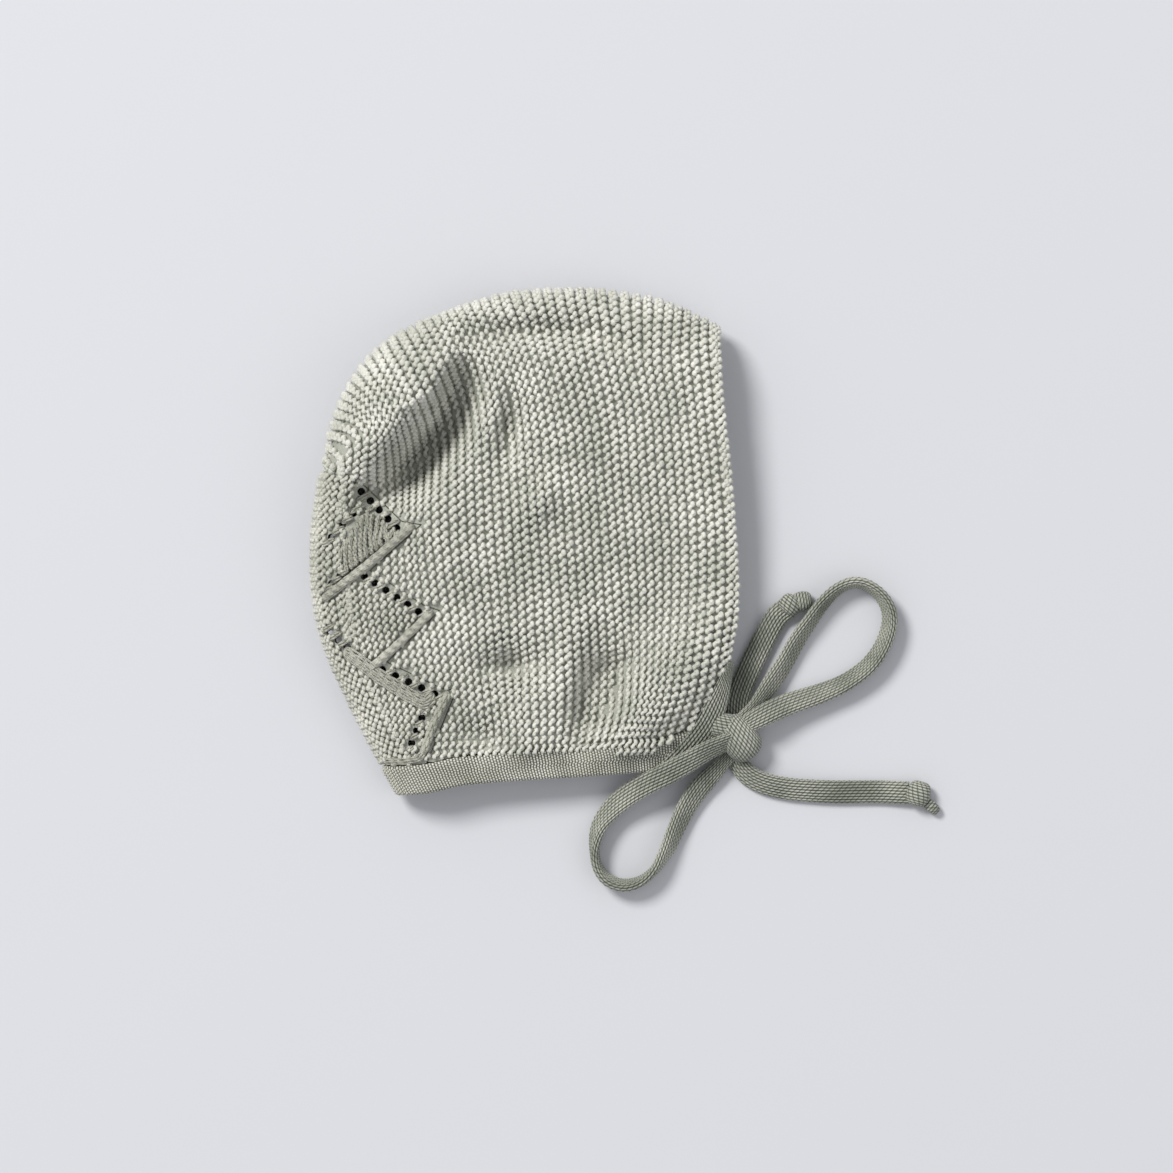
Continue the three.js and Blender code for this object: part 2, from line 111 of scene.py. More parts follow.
# Where each garter row lies: for each guiding row its number, then its course from the neck
# over the upper side to just past the fold, in millimetres
ROW_GUIDES = {
    0: [(64.2, -66.0), (66.3, -60.5), (67.3, -54.0), (68.6, -46.0), (69.8, -36.0), (71.4, -22.0),
        (71.7, -8.0), (71.0, 8.0), (69.6, 24.0), (68.4, 34.0), (67.5, 44.0), (66.8, 53.0), (66.2, 62.0),
        (65.9, 68.5), (65.9, 72.5), (66.1, 76.0)],
    6: [(45.0, -70.0), (45.6, -64.5), (47.8, -58.0), (50.0, -51.5), (51.3, -42.5), (52.3, -32.6),
        (53.2, -19.3), (53.2, 0.8), (51.4, 24.3), (50.5, 34.3), (49.5, 44.4), (48.3, 52.8), (47.2, 61.1),
        (47.2, 67.8), (47.8, 74.5), (48.6, 84.0)],
    12: [(31.0, -71.0), (33.3, -64.5), (35.6, -56.0), (36.5, -46.0), (36.9, -36.0), (36.8, -28.0),
         (36.6, -19.3), (35.4, 0.8), (33.4, 24.3), (32.9, 34.3), (31.7, 44.4), (30.2, 52.8), (28.4, 61.1),
         (27.4, 67.8), (26.5, 74.5), (24.9, 88.0)],
    18: [(17.0, -73.0), (19.0, -64.5), (20.4, -56.0), (20.7, -46.0), (20.4, -36.0), (20.0, -28.0),
         (19.3, -19.3), (18.0, 0.8), (16.3, 24.3), (15.3, 34.3), (13.6, 44.4), (11.6, 52.8), (9.3, 61.1),
         (7.8, 67.8), (6.1, 74.5), (2.8, 88.0)],
    24: [(3.5, -73.0), (3.7, -64.5), (3.3, -56.0), (2.8, -46.0), (2.3, -36.0), (1.9, -28.0),
         (1.6, -19.3), (0.3, 0.8), (-1.2, 24.3), (-1.9, 34.3), (-3.1, 44.4), (-4.9, 52.8), (-7.8, 61.1),
         (-10.8, 67.8), (-14.2, 74.5), (-18.8, 84.5)],
    30: [(-12.5, -74.0), (-11.8, -64.5), (-12.5, -56.0), (-13.3, -46.0), (-14.2, -36.0), (-14.8, -28.0),
         (-15.5, -19.3), (-17.5, 0.8), (-18.3, 24.3), (-18.7, 34.3), (-20.1, 44.4), (-22.2, 52.8),
         (-25.2, 61.1), (-28.8, 67.8), (-32.8, 74.5), (-35.5, 79.0)],
    36: [(-28.0, -75.0), (-26.5, -64.5), (-27.5, -56.0), (-28.6, -46.0), (-29.9, -36.0), (-31.2, -28.0),
         (-32.6, -19.3), (-34.9, 0.8), (-35.3, 18.0), (-35.6, 28.0), (-36.4, 36.0), (-38.8, 43.5),
         (-42.6, 51.0), (-46.4, 57.5), (-50.0, 63.5), (-52.4, 67.3)],
    40: [(-37.5, -76.0), (-37.0, -64.5), (-37.8, -56.0), (-39.0, -46.0), (-40.4, -36.0), (-41.5, -28.0),
         (-42.7, -19.3), (-44.0, 0.8), (-44.7, 16.0), (-44.9, 26.0), (-45.3, 33.0), (-46.9, 38.6),
         (-50.3, 43.8), (-54.2, 48.0), (-59.0, 52.1), (-62.2, 54.8)],
    43: [(-44.0, -76.0), (-44.0, -64.5), (-45.0, -56.0), (-46.5, -46.0), (-48.0, -36.0), (-49.5, -28.0),
         (-50.5, -19.3), (-52.5, 0.8), (-53.6, 16.0), (-53.4, 26.0), (-52.7, 32.5), (-53.3, 37.0),
         (-56.0, 39.8), (-59.4, 41.6), (-62.9, 42.7), (-66.4, 43.8)],
    48: [(-54.0, -76.0), (-54.0, -64.5), (-56.0, -56.0), (-58.0, -46.0), (-60.0, -36.0), (-61.5, -28.0),
         (-62.5, -19.3), (-64.0, 0.8), (-66.0, 14.0), (-67.0, 20.0), (-67.5, 22.3), (-68.3, 23.5),
         (-69.2, 24.0), (-70.2, 24.3), (-71.2, 24.5), (-74.5, 25.0)],
}
STITCH = 2.88
ROW_PITCH = 2.95

# A yarn's radius as a share of its row's width, and the least and most it may be
YARN_SHARE = 0.272
YARN_RADII = (0.5, 0.95)

# Steps round a lining, its rings round the fold and its rings from there to the middle
PILLOW_STEPS = (168, 7, 20)

# One stitch of a garter row, from the lower left to the upper right and back underneath:
# share of the stitch's length, share of the row's width to the side, height in millimetres, thickness
GARTER_STITCH = np.array([
    (0.02, -0.06, -0.06, 0.86), (0.10, -0.14, 0.40, 1.00), (0.19, -0.19, 0.74, 1.10),
    (0.28, -0.18, 0.86, 1.10), (0.38, -0.10, 0.72, 0.92), (0.47, 0.02, 0.76, 0.90),
    (0.57, 0.13, 0.98, 1.08), (0.67, 0.19, 1.04, 1.16), (0.77, 0.18, 0.84, 1.12),
    (0.87, 0.10, 0.36, 0.96), (0.95, 0.00, -0.04, 0.84),
])

# Creases of the upper layer as courses: x, y, depth, width on the left and right of travel, millimetres
CREASES = [
    [(-20.6, 63.5, 1.5, 4.0, 4.0), (-21.0, 56.2, 8.5, 6.0, 5.0), (-22.8, 47.4, 12.5, 7.4, 5.8),
     (-27.2, 38.0, 14.0, 8.0, 6.2), (-34.6, 29.0, 14.0, 8.0, 6.2), (-42.6, 22.2, 13.0, 7.4, 6.0),
     (-50.4, 17.0, 9.0, 6.0, 5.2), (-56.6, 13.0, 3.0, 4.4, 4.4)],
    [(-25.0, 63.0, -0.5, 3.5, 5.0), (-27.2, 57.0, -2.0, 3.2, 6.0), (-31.6, 51.4, -2.8, 3.0, 7.0),
     (-38.0, 44.6, -3.0, 3.2, 7.0), (-45.5, 37.8, -2.4, 3.4, 6.0), (-53.0, 31.6, -1.2, 3.6, 5.0)],
    [(-39.6, 42.0, 1.8, 1.8, 1.6), (-33.0, 44.8, 3.0, 2.2, 1.8), (-25.6, 48.6, 2.0, 2.4, 1.8)],
    [(-44.0, 46.4, 1.0, 1.3, 1.3), (-37.5, 48.6, 1.4, 1.3, 1.3), (-31.0, 53.0, 0.9, 1.3, 1.3)],
    [(-5.4, 52.0, 1.4, 3.4, 3.4), (-5.2, 41.0, 5.4, 3.8, 3.4), (-6.2, 31.0, 3.4, 3.4, 3.4)],
    [(10.0, 22.0, -0.6, 5.0, 4.0), (6.0, 14.0, -2.8, 5.0, 4.0), (1.0, 6.0, -0.8, 5.0, 4.0)],
    [(-28.0, 67.0, 1.2, 3.5, 4.5), (-4.0, 70.4, 4.6, 4.0, 5.0), (20.0, 70.0, 4.4, 4.0, 5.0),
     (36.0, 66.0, 1.6, 3.5, 4.5)],
    [(-11.0, -42.0, 3.0, 5.0, 5.0), (-4.8, -41.8, 6.0, 5.8, 5.6), (2.0, -41.0, 2.4, 5.0, 5.0)],
    [(30.0, -35.5, 2.0, 6.0, 6.0), (29.4, -42.5, 8.6, 6.4, 7.0), (26.6, -51.5, 9.8, 6.6, 7.0),
     (22.4, -59.0, 6.4, 6.0, 6.2), (19.0, -65.0, 1.6, 5.0, 5.0)],
    [(33.0, -68.0, -3.2, 8.0, 7.0), (44.5, -57.6, -7.6, 11.0, 9.0), (53.5, -46.6, -8.8, 12.0, 10.0),
     (61.0, -33.0, -6.4, 12.0, 9.6), (65.0, -19.0, -2.2, 12.0, 8.0)],
    [(-19.0, -65.0, 2.6, 4.4, 4.4), (-14.6, -67.0, 4.0, 4.4, 4.4)],
    [(-2.0, -58.0, -2.6, 6.0, 6.0), (0.6, -66.0, -2.8, 6.0, 6.0)],
    [(-44.0, -30.0, 0.8, 5.0, 4.0), (-26.0, -24.0, 1.0, 5.0, 4.0)],
]


def spline(points, params):
    """A Catmull-Rom curve through points at whole-number parameters, in any number of dimensions."""
    points = np.asarray(points, float)
    first = 2 * points[0] - points[1]
    last = 2 * points[-1] - points[-2]
    padded = np.vstack([first, points, last])
    params = np.clip(np.asarray(params, float), 0, len(points) - 1)
    base = np.minimum(params.astype(int), len(points) - 2)
    t = (params - base)[:, None]
    a, b, c, d = padded[base], padded[base + 1], padded[base + 2], padded[base + 3]
    return 0.5 * (2 * b + (c - a) * t + (2 * a - 5 * b + 4 * c - d) * t ** 2
                  + (3 * b - a - 3 * c + d) * t ** 3)


def lengths_along(points):
    steps = np.linalg.norm(np.diff(points, axis=0), axis=1)
    return np.concatenate([[0.0], np.cumsum(steps)])


def read_at(wanted, run, values):
    """Each column of values, read at places along a run."""
    return np.column_stack([np.interp(wanted, run, column) for column in np.transpose(values)])


def evenly(points, count):
    """The same line with count points spaced evenly along it."""
    run = lengths_along(points)
    return read_at(np.linspace(0, run[-1], count), run, points)


def unit(rows, least=1e-9):
    """The same directions at length 1."""
    return rows / np.maximum(np.linalg.norm(rows, axis=-1), least)[..., None]


def curve(corners, samples):
    """A spline through all the corners."""
    return spline(corners, np.linspace(0, len(corners) - 1, samples))


def closed_evenly(line, count):
    """A closed line with count even points, and its direction at each."""
    line = evenly(np.vstack([line, line[:1]]), count + 1)[:-1]
    return line, unit(np.roll(line, -1, axis=0) - np.roll(line, 1, axis=0))


def centripetal_ring(corners, per_span):
    """A closed centripetal Catmull-Rom curve, as three.js draws it."""
    count = len(corners)
    share = np.linspace(0, 1, per_span, endpoint=False)[:, None]
    line = []
    for i in range(count):
        p0, p1, p2, p3 = (corners[(i + k) % count] for k in (-1, 0, 1, 2))
        d0, d1, d2 = (max(np.linalg.norm(b - a), 1e-6) ** 0.5 for a, b in ((p0, p1), (p1, p2), (p2, p3)))
        t1 = ((p1 - p0) / d0 - (p2 - p0) / (d0 + d1) + (p2 - p1) / d1) * d1
        t2 = ((p2 - p1) / d1 - (p3 - p1) / (d1 + d2) + (p3 - p2) / d2) * d1
        line.append(p1 + t1 * share + (-3 * p1 + 3 * p2 - 2 * t1 - t2) * share ** 2
                    + (2 * p1 - 2 * p2 + t1 + t2) * share ** 3)
    return np.vstack(line)


def shares_to_mm(rows):
    return np.asarray(rows, float) * (HOOD_DEPTH, HOOD_HEIGHT)


def nearest(x, y, line):
    """The number of a line's nearest point to each place."""
    return ((x[:, None] - line[None, :, 0]) ** 2 + (y[:, None] - line[None, :, 1]) ** 2).argmin(axis=1)


CREASE_LINES = [evenly(curve(course, 14 * len(course)), 9 * len(course)) for course in CREASES]
CREASE_REACH = 3.2
SIDE_BLEND = 1.2


def crease_depth(x, y):
    """How far the courses of CREASES lower each place."""
    lowered = np.zeros(len(x))
    for line in CREASE_LINES:
        step = np.linalg.norm(line[1, :2] - line[0, :2])
        ahead = unit(np.gradient(line[:, :2], axis=0))
        reach = CREASE_REACH * line[:, 3:].max()
        near = np.flatnonzero((x > line[:, 0].min() - reach) & (x < line[:, 0].max() + reach)
                              & (y > line[:, 1].min() - reach) & (y < line[:, 1].max() + reach))
        if not len(near):
            continue
        index = nearest(x[near], y[near], line)
        dx, dy = x[near] - line[index, 0], y[near] - line[index, 1]
        along = dx * ahead[index, 0] + dy * ahead[index, 1]
        across = dy * ahead[index, 0] - dx * ahead[index, 1]
        at = np.clip(index + along / step, 0, len(line) - 1)
        past = (index + along / step - at) * step
        depth, left, right = read_at(at, np.arange(len(line)), line[:, 2:]).T
        width = right + (left - right) * (0.5 + 0.5 * np.tanh(across / SIDE_BLEND))
        lowered[near] += depth * np.exp(-(across ** 2 + past ** 2) / width ** 2)
    return lowered


def top_height(x, y):
    """How high the upper layer stands over a place, its folds and creases included."""
    spread = RISE_SPREAD * HOOD_HEIGHT
    weights = np.zeros_like(x)
    total = np.zeros_like(x)
    for u, v, rise in RISES:
        weight = np.exp(-((x - u * HOOD_DEPTH) ** 2 + (y - v * HOOD_HEIGHT) ** 2) / spread ** 2)
        weights += weight
        total += weight * rise
    height = total / weights * CROWN_RISE
    for u, v, turn, long, wide, deep in FOLDS:
        angle = math.radians(turn)
        dx = x - u * HOOD_DEPTH
        dy = y - v * HOOD_HEIGHT
        along = dx * math.cos(angle) + dy * math.sin(angle)
        across = dy * math.cos(angle) - dx * math.sin(angle)
        shape = (along / (long * HOOD_DEPTH)) ** 2 + (across / (wide * HOOD_DEPTH)) ** 2
        height -= deep * CROWN_RISE * np.exp(-shape)
    return np.maximum(height - crease_depth(x, y), LEAST_HEIGHT)


def outline():
    """Points and inward normals, close together, round the folded edge and its run-ons."""
    line, ahead = closed_evenly(centripetal_ring(shares_to_mm(FOLDED_EDGE), 60), 1440)
    return line, np.column_stack([-ahead[:, 1], ahead[:, 0]])


EDGE_LINE, EDGE_INWARD = outline()
EDGE_MIDDLE = top_height(EDGE_LINE[:, 0], EDGE_LINE[:, 1]) * FOLD_MIDDLE


AT_ONCE = 4000
SLOPE_STEP = 0.5


def from_edge(x, y):
    """How far inside the folded edge each place is, with the edge's middle height and its way out."""
    inside = np.empty(len(x))
    edge = np.empty(len(x), int)
    for start in range(0, len(x), AT_ONCE):
        part = slice(start, start + AT_ONCE)
        index = nearest(x[part], y[part], EDGE_LINE)
        edge[part] = index
        inside[part] = ((x[part] - EDGE_LINE[index, 0]) * EDGE_INWARD[index, 0]
                        + (y[part] - EDGE_LINE[index, 1]) * EDGE_INWARD[index, 1])
    return inside, EDGE_MIDDLE[edge], -EDGE_INWARD[edge]


def top_slopes(x, y):
    """How steeply the upper layer rises forwards and upwards in the picture."""
    slope_x = (top_height(x + SLOPE_STEP, y) - top_height(x - SLOPE_STEP, y)) / (2 * SLOPE_STEP)
    slope_y = (top_height(x, y + SLOPE_STEP) - top_height(x, y - SLOPE_STEP)) / (2 * SLOPE_STEP)
    return slope_x, slope_y


def skin(x, y, under):
    """Points and outward normals of the hood's outer face at places in plan, on its upper or under layer."""
    inside, middle, way_out = from_edge(x, y)
    share = np.clip(inside / FOLD_RADIUS, 0, 1)
    turned = np.sqrt(np.maximum(1 - (1 - share) ** 2, 0))
    facing = 1 - share
    if under:
        z = middle * (1 - turned)
        normal = np.column_stack([way_out * (middle * facing)[:, None], -FOLD_RADIUS * turned])
    else:
        top = top_height(x, y)
        z = middle + (top - middle) * turned
        slope_x, slope_y = top_slopes(x, y)
        rise = FOLD_RADIUS * turned
        outwards = way_out * ((top - middle) * facing)[:, None]
        normal = np.column_stack([outwards[:, 0] - slope_x * rise, outwards[:, 1] - slope_y * rise, rise])
    return np.column_stack([x, y, z]), unit(normal)


FACE_LINE = curve(shares_to_mm(FACE_EDGE), 240)
NECK_LINE = curve(shares_to_mm(NECK_EDGE), 240)


def neck_height(x):
    return np.interp(x, NECK_LINE[:, 0], NECK_LINE[:, 1])


def face_depth(y):
    return np.interp(-y, -FACE_LINE[:, 1], FACE_LINE[:, 0])


def lace_plan(before):
    """The lace panel's edge moved forward by a distance, closed behind the back of the hood."""
    edge = shares_to_mm(LACE_EDGE)
    last = len(edge) - 1
    moved = []
    for i, corner in enumerate(edge):
        into = unit(edge[max(i, 1)] - edge[max(i, 1) - 1])
        out = unit(edge[min(i + 1, last)] - edge[min(i, last - 1)])
        share = before / (1 + into @ out)
        moved.append(corner + share * np.array([-(into[1] + out[1]), into[0] + out[0]]))
    return np.vstack([moved, [(-HOOD_DEPTH, moved[-1][1]), (-HOOD_DEPTH, moved[0][1])]])


def within(x, y, polygon):
    """Which places are inside a polygon."""
    hit = np.zeros(len(x), bool)
    count = len(polygon)
    for i in range(count):
        x0, y0 = polygon[i]
        x1, y1 = polygon[(i + 1) % count]
        crosses = (y0 > y) != (y1 > y)
        at = x0 + (y - y0) * (x1 - x0) / (y1 - y0 if y1 != y0 else 1e-9)
        hit ^= crosses & (x < at)
    return hit


def mesh_object(name, vertices, faces, material, uvs=None, smooth=True):
    """An object from millimetre points and lists of same-sized faces."""
    mesh = bpy.data.meshes.new(name)
    vertices = np.asarray(vertices, float) * MM
    faces = [np.asarray(group, np.int32) for group in faces if len(group)]
    sizes = np.concatenate([np.full(len(group), group.shape[1], np.int32) for group in faces])
    corners = np.concatenate([group.ravel() for group in faces])
    mesh.vertices.add(len(vertices))
    mesh.vertices.foreach_set("co", vertices.ravel())
    mesh.loops.add(len(corners))
    mesh.loops.foreach_set("vertex_index", corners)
    mesh.polygons.add(len(sizes))
    mesh.polygons.foreach_set("loop_start", np.concatenate([[0], np.cumsum(sizes)[:-1]]).astype(np.int32))
    mesh.polygons.foreach_set("loop_total", sizes)
    mesh.polygons.foreach_set("use_smooth", np.full(len(sizes), smooth))
    if uvs is not None:
        layer = mesh.uv_layers.new(name="along")
        layer.data.foreach_set("uv", np.asarray(uvs, float)[corners].ravel())
    mesh.update(calc_edges=True)
    mesh.validate()
    piece = bpy.data.objects.new(name, mesh)
    bpy.context.scene.collection.objects.link(piece)
    piece.data.materials.append(material)
    return piece


def tube_faces(count, around):
    """The quads between the rings of a closed tube, and its two end caps."""
    row = np.arange(count)[:, None] * around
    ring = np.arange(around)
    beside = np.roll(ring, -1)
    quads = np.stack([row[:-1] + ring, row[:-1] + beside, row[1:] + beside, row[1:] + ring], axis=-1)
    return quads.reshape(-1, 4), np.vstack([ring[::-1], ring + (count - 1) * around])


def loop_map(along, across):
    """Map coordinates that say where on its knit each point of a grid lies."""
    return np.stack(np.broadcast_arrays(along, across), axis=-1)


def tube(name, grid, places, material, turned=False):
    """A closed tube as one object. turned says that its rings run the other way round."""
    quads, caps = tube_faces(*grid.shape[:2])
    if turned:
        quads, caps = quads[:, [0, 3, 2, 1]], caps[:, ::-1]
    return mesh_object(name, grid.reshape(-1, 3), [quads, caps], material, places.reshape(-1, 2))


class Strands:
    """Gathers round strands of yarn into one mesh."""

    def __init__(self, sides):
        self.sides = sides
        self.points = []
        self.uvs = []
        self.quads = []
        self.caps = []
        self.count = 0

    def add(self, path, up, radius):
        """A closed tube along path, with up telling which way its section faces."""
        ahead = unit(np.gradient(path, axis=0))
        side = unit(np.cross(ahead, up), 1e-6)
        rise = np.cross(side, ahead)
        turn = (np.arange(self.sides) / self.sides * 2 * math.pi)[None, :, None]
        ring = side[:, None, :] * np.cos(turn) + rise[:, None, :] * np.sin(turn)
        points = path[:, None, :] + ring * np.broadcast_to(radius, len(path))[:, None, None]
        points[..., 2] = np.maximum(points[..., 2], ABOVE_FLOOR)
        places = loop_map(lengths_along(path)[:, None], np.arange(self.sides) / self.sides)
        quads, caps = tube_faces(len(path), self.sides)
        self.quads.append(quads + self.count)
        self.caps.append(caps + self.count)
        self.points.append(points.reshape(-1, 3))
        self.uvs.append(places.reshape(-1, 2))
        self.count += len(path) * self.sides

    def build(self, name, material):
        """One object from all the strands so far."""
        return mesh_object(name, np.vstack(self.points), [np.vstack(self.quads), np.vstack(self.caps)],
                           material, np.vstack(self.uvs))


def between_guides(numbers, values, at):
    """Values at a number between guides, as a smooth curve through them all."""
    numbers = np.asarray(numbers, float)
    gaps = np.diff(numbers)
    slopes = np.diff(values, axis=0) / gaps[:, None, None]
    tangents = np.empty_like(values)
    tangents[0], tangents[-1] = slopes[0], slopes[-1]
    share = (gaps[1:] / (gaps[1:] + gaps[:-1]))[:, None, None]
    tangents[1:-1] = slopes[:-1] * share + slopes[1:] * (1 - share)
    k = int(np.clip(np.searchsorted(numbers, at, side="right") - 1, 0, len(gaps) - 1))
    t = (at - numbers[k]) / gaps[k]
    h00, h10 = 2 * t ** 3 - 3 * t ** 2 + 1, t ** 3 - 2 * t ** 2 + t
    h01, h11 = 3 * t ** 2 - 2 * t ** 3, t ** 3 - t ** 2
    return (h00 * values[k] + h10 * gaps[k] * tangents[k] + h01 * values[k + 1]
            + h11 * gaps[k] * tangents[k + 1])


GUIDE_NUMBERS = sorted(ROW_GUIDES)
GUIDE_COURSES = np.array([ROW_GUIDES[number] for number in GUIDE_NUMBERS])


def row_course(number):
    """A garter row's course in plan, close together."""
    return curve(between_guides(GUIDE_NUMBERS, GUIDE_COURSES, number), 420)


def round_the_fold(course):
    """Positions along a course, as index numbers, close together where it turns under the folded edge."""
    inside, _, _ = from_edge(course[:, 0], course[:, 1])
    last = len(inside) - 1 - int(np.argmax(inside[::-1] > 0))
    stop = float(last)
    if last < len(inside) - 1:
        stop += inside[last] / (inside[last] - inside[last + 1])
    beyond = np.arange(last + 1)[inside[:last + 1] >= FOLD_RADIUS]
    flat_until = float(beyond[-1]) if len(beyond) else 0.0
    run = np.arange(0, flat_until, 2.0)
    edge_index = np.arange(int(flat_until), last + 1)
    edge_inside = np.append(inside[edge_index], 0.0)
    edge_at = np.append(edge_index.astype(float), stop)
    order = np.argsort(edge_inside)
    bends = np.radians(np.linspace(88, 0, 26))
    wanted = FOLD_RADIUS * (1 - np.cos(bends))
    edge_run = np.interp(wanted, edge_inside[order], edge_at[order])
    at = np.concatenate([run, edge_run[edge_run > (run[-1] if len(run) else -1)]])
    at[-1] = stop
    return at


def picked(values, at):
    """Rows of values at places between their index numbers."""
    return read_at(at, np.arange(len(values)), values)


def both_layers(plan):
    """A course in plan laid over the upper layer, round the fold and back underneath."""
    upper, upper_normal = skin(plan[:, 0], plan[:, 1], False)
    under, under_normal = skin(plan[::-1, 0], plan[::-1, 1], True)
    sides = np.concatenate([np.zeros(len(upper)), np.ones(len(under) - 1)])
    return np.vstack([upper, under[1:]]), np.vstack([upper_normal, under_normal[1:]]), sides


def row_on_skin(number):
    """A garter row from the neck over the fold and back underneath: points, normals, widths and side."""
    course = row_course(number)
    left = row_course(max(number - 0.5, 0))
    right = row_course(min(number + 0.5, GUIDE_NUMBERS[-1]))
    whole = 1.0 if 0.5 <= number <= GUIDE_NUMBERS[-1] - 0.5 else 2.0
    at = round_the_fold(course)
    plan = picked(course, at)
    across = picked(right - left, at)
    ahead = unit(np.gradient(plan, axis=0))
    width = np.abs(across[:, 0] * ahead[:, 1] - across[:, 1] * ahead[:, 0]) * whole
    points, normals, sides = both_layers(plan)
    width = np.clip(width, 2.3, 3.5)
    return points, normals, np.concatenate([width, width[::-1][1:]]), sides


def edge_on_skin(line, width):
    """A course along an open edge, laid as a garter row is."""
    plan = picked(line, round_the_fold(line))
    points, normals, sides = both_layers(plan)
    return points, normals, np.full(len(points), width), sides


def knit_row(laid, stitch, strands_for, keep, depth, lift=None):
    """Lays one row of stitches along a course on the hood's skin, sunk into it by a depth."""
    points, normals, widths, sides = laid
    run = lengths_along(points)
    count = int(run[-1] / stitch)
    pitch = run[-1] / count
    middles = (np.arange(count) + 0.5) * pitch
    centre = read_at(middles, run, points)
    side = np.interp(middles, run, sides)
    kept = keep(centre, side)
    tangent = unit(np.gradient(points, axis=0))
    groups = strands_for(centre, side)
    jitter_side = RANDOM.normal(0, 0.03, (count, 1))
    jitter_along = RANDOM.normal(0, 0.035, (count, 1))
    jitter_high = RANDOM.normal(0, 0.07, (count, 1))
    jitter_thick = 1 + RANDOM.normal(0, 0.06, (count, 1))
    stitch_along, stitch_side, stitch_high, stitch_thick = GARTER_STITCH.T
    start = 0
    while start < count:
        if not kept[start]:
            start += 1
            continue
        end = start
        while end + 1 < count and kept[end + 1] and groups[end + 1] is groups[start]:
            end += 1
        units = np.arange(start, end + 1)
        at = ((units[:, None] + stitch_along + jitter_along[units]) * pitch).ravel()
        at = np.clip(at, 0, run[-1])
        base = read_at(at, run, points)
        normal = unit(read_at(at, run, normals))
        across = unit(np.cross(read_at(at, run, tangent), normal))
        width = np.interp(at, run, widths)
        aside = (stitch_side + jitter_side[units]).ravel() * width
        high = (stitch_high * (1 + jitter_high[units])).ravel()
        raised = high * np.clip(width / ROW_PITCH, 0.8, 1.2) - depth
        if lift:
            raised = raised + lift(base)
        path = base + across * aside[:, None] + normal * raised[:, None]
        thickness = (stitch_thick * jitter_thick[units]).ravel()
        groups[start].add(path, normal, np.clip(width * YARN_SHARE, *YARN_RADII) * thickness)
        start = end + 1


def pillow(name, drawn_in, raised):
    """A closed pillow over the hood's outline, its edge drawn in, its top lowered and its bottom raised."""
    steps, fold_rings, middle_rings = PILLOW_STEPS
    pick = np.arange(steps) * len(EDGE_LINE) // steps
    line, inward, middle = EDGE_LINE[pick], EDGE_INWARD[pick], EDGE_MIDDLE[pick]
    centre = np.array([-0.1 * HOOD_DEPTH, 0.12 * HOOD_HEIGHT])
    radius = FOLD_RADIUS - drawn_in
    vertices, uppers, lowers = [], [], []
    for r in range(fold_rings + middle_rings):
        bend = min(r / fold_rings, 1) * math.pi / 2
        inset = drawn_in + radius * (1 - math.cos(bend))
        to_middle = max(r - fold_rings, 0) / middle_rings
        edge = line + inward * inset
        plan = edge + (centre - edge) * to_middle
        turned = math.sin(bend)
        steepness = np.clip(np.hypot(1, np.hypot(*top_slopes(plan[:, 0], plan[:, 1]))), 1, 2.6)
        top = top_height(plan[:, 0], plan[:, 1]) - drawn_in * steepness
        uppers.append(len(vertices) * steps + np.arange(steps))
        vertices.append(np.column_stack([plan, middle + (top - middle) * turned]))
        if r == 0:
            lowers.append(uppers[0])
        else:
            lowers.append(len(vertices) * steps + np.arange(steps))
            vertices.append(np.column_stack([plan, middle - (middle - raised) * turned]))
    after = np.roll(np.arange(steps), -1)
    quads = []
    for a, b, c, d in zip(uppers[:-1], uppers[1:], lowers[:-1], lowers[1:]):
        quads.append(np.stack([a, a[after], b[after], b], axis=1))
        quads.append(np.stack([c[after], c, d, d[after]], axis=1))
    count = len(vertices) * steps
    peak = top_height(centre[:1], centre[1:])[0] - drawn_in
    vertices.append(np.array([(*centre, peak), (*centre, raised)]))
    top, bottom = uppers[-1], lowers[-1]
    triangles = np.vstack([
        np.stack([top, top[after], np.full(steps, count)], axis=1),
        np.stack([bottom[after], bottom, np.full(steps, count + 1)], axis=1),
    ])
    return mesh_object(name, np.vstack(vertices), [np.vstack(quads), triangles], LINING_YARN_PAINTED_SHADE, smooth=False)


def prism(name, outline_points):
    """An upright prism over an outline in plan, for cutting."""
    x, y = np.transpose(outline_points)
    if np.sum(x * np.roll(y, -1) - np.roll(x, -1) * y) < 0:
        x, y = x[::-1], y[::-1]
    count = len(x)
    vertices = np.vstack([np.column_stack([x, y, np.full(count, z)]) for z in (-CUT_REACH, CUT_REACH)])
    ring = np.arange(count)
    after = np.roll(ring, -1)
    walls = np.stack([ring, after, after + count, ring + count], axis=1)
    return mesh_object(name, vertices, [walls, ring[::-1][None, :], (ring + count)[None, :]], LINING_YARN_PAINTED_SHADE,
                       smooth=False)


def carve(piece, tool, operation):
    """Cuts a tool into a piece, or keeps what both share, and throws the tool away."""
    change = piece.modifiers.new("cut", "BOOLEAN")
    change.operation = operation
    change.solver = "MANIFOLD"
    change.object = tool
    depsgraph = bpy.context.evaluated_depsgraph_get()
    mesh = bpy.data.meshes.new_from_object(piece.evaluated_get(depsgraph))
    piece.modifiers.clear()
    old = piece.data
    piece.data = mesh
    mesh.name = piece.name
    bpy.data.meshes.remove(old)
    bpy.data.objects.remove(tool)
    return piece


def lining_lace_edge(before):
    """The lace panel's edge, moved forward, as far down as the linings reach."""
    edge = lace_plan(before)[:-2]
    edge = evenly(edge, int(lengths_along(edge)[-1] / 0.5) + 2)
    return edge[edge[:, 1] > neck_height(edge[:, 0]) + LINING_END]


def lining_low_edge(first, last):
    """The linings' lower edge, from a place at the front to one further back."""
    x = np.arange(first, last, -2.0)
    return np.column_stack([x, neck_height(x) + LINING_END])


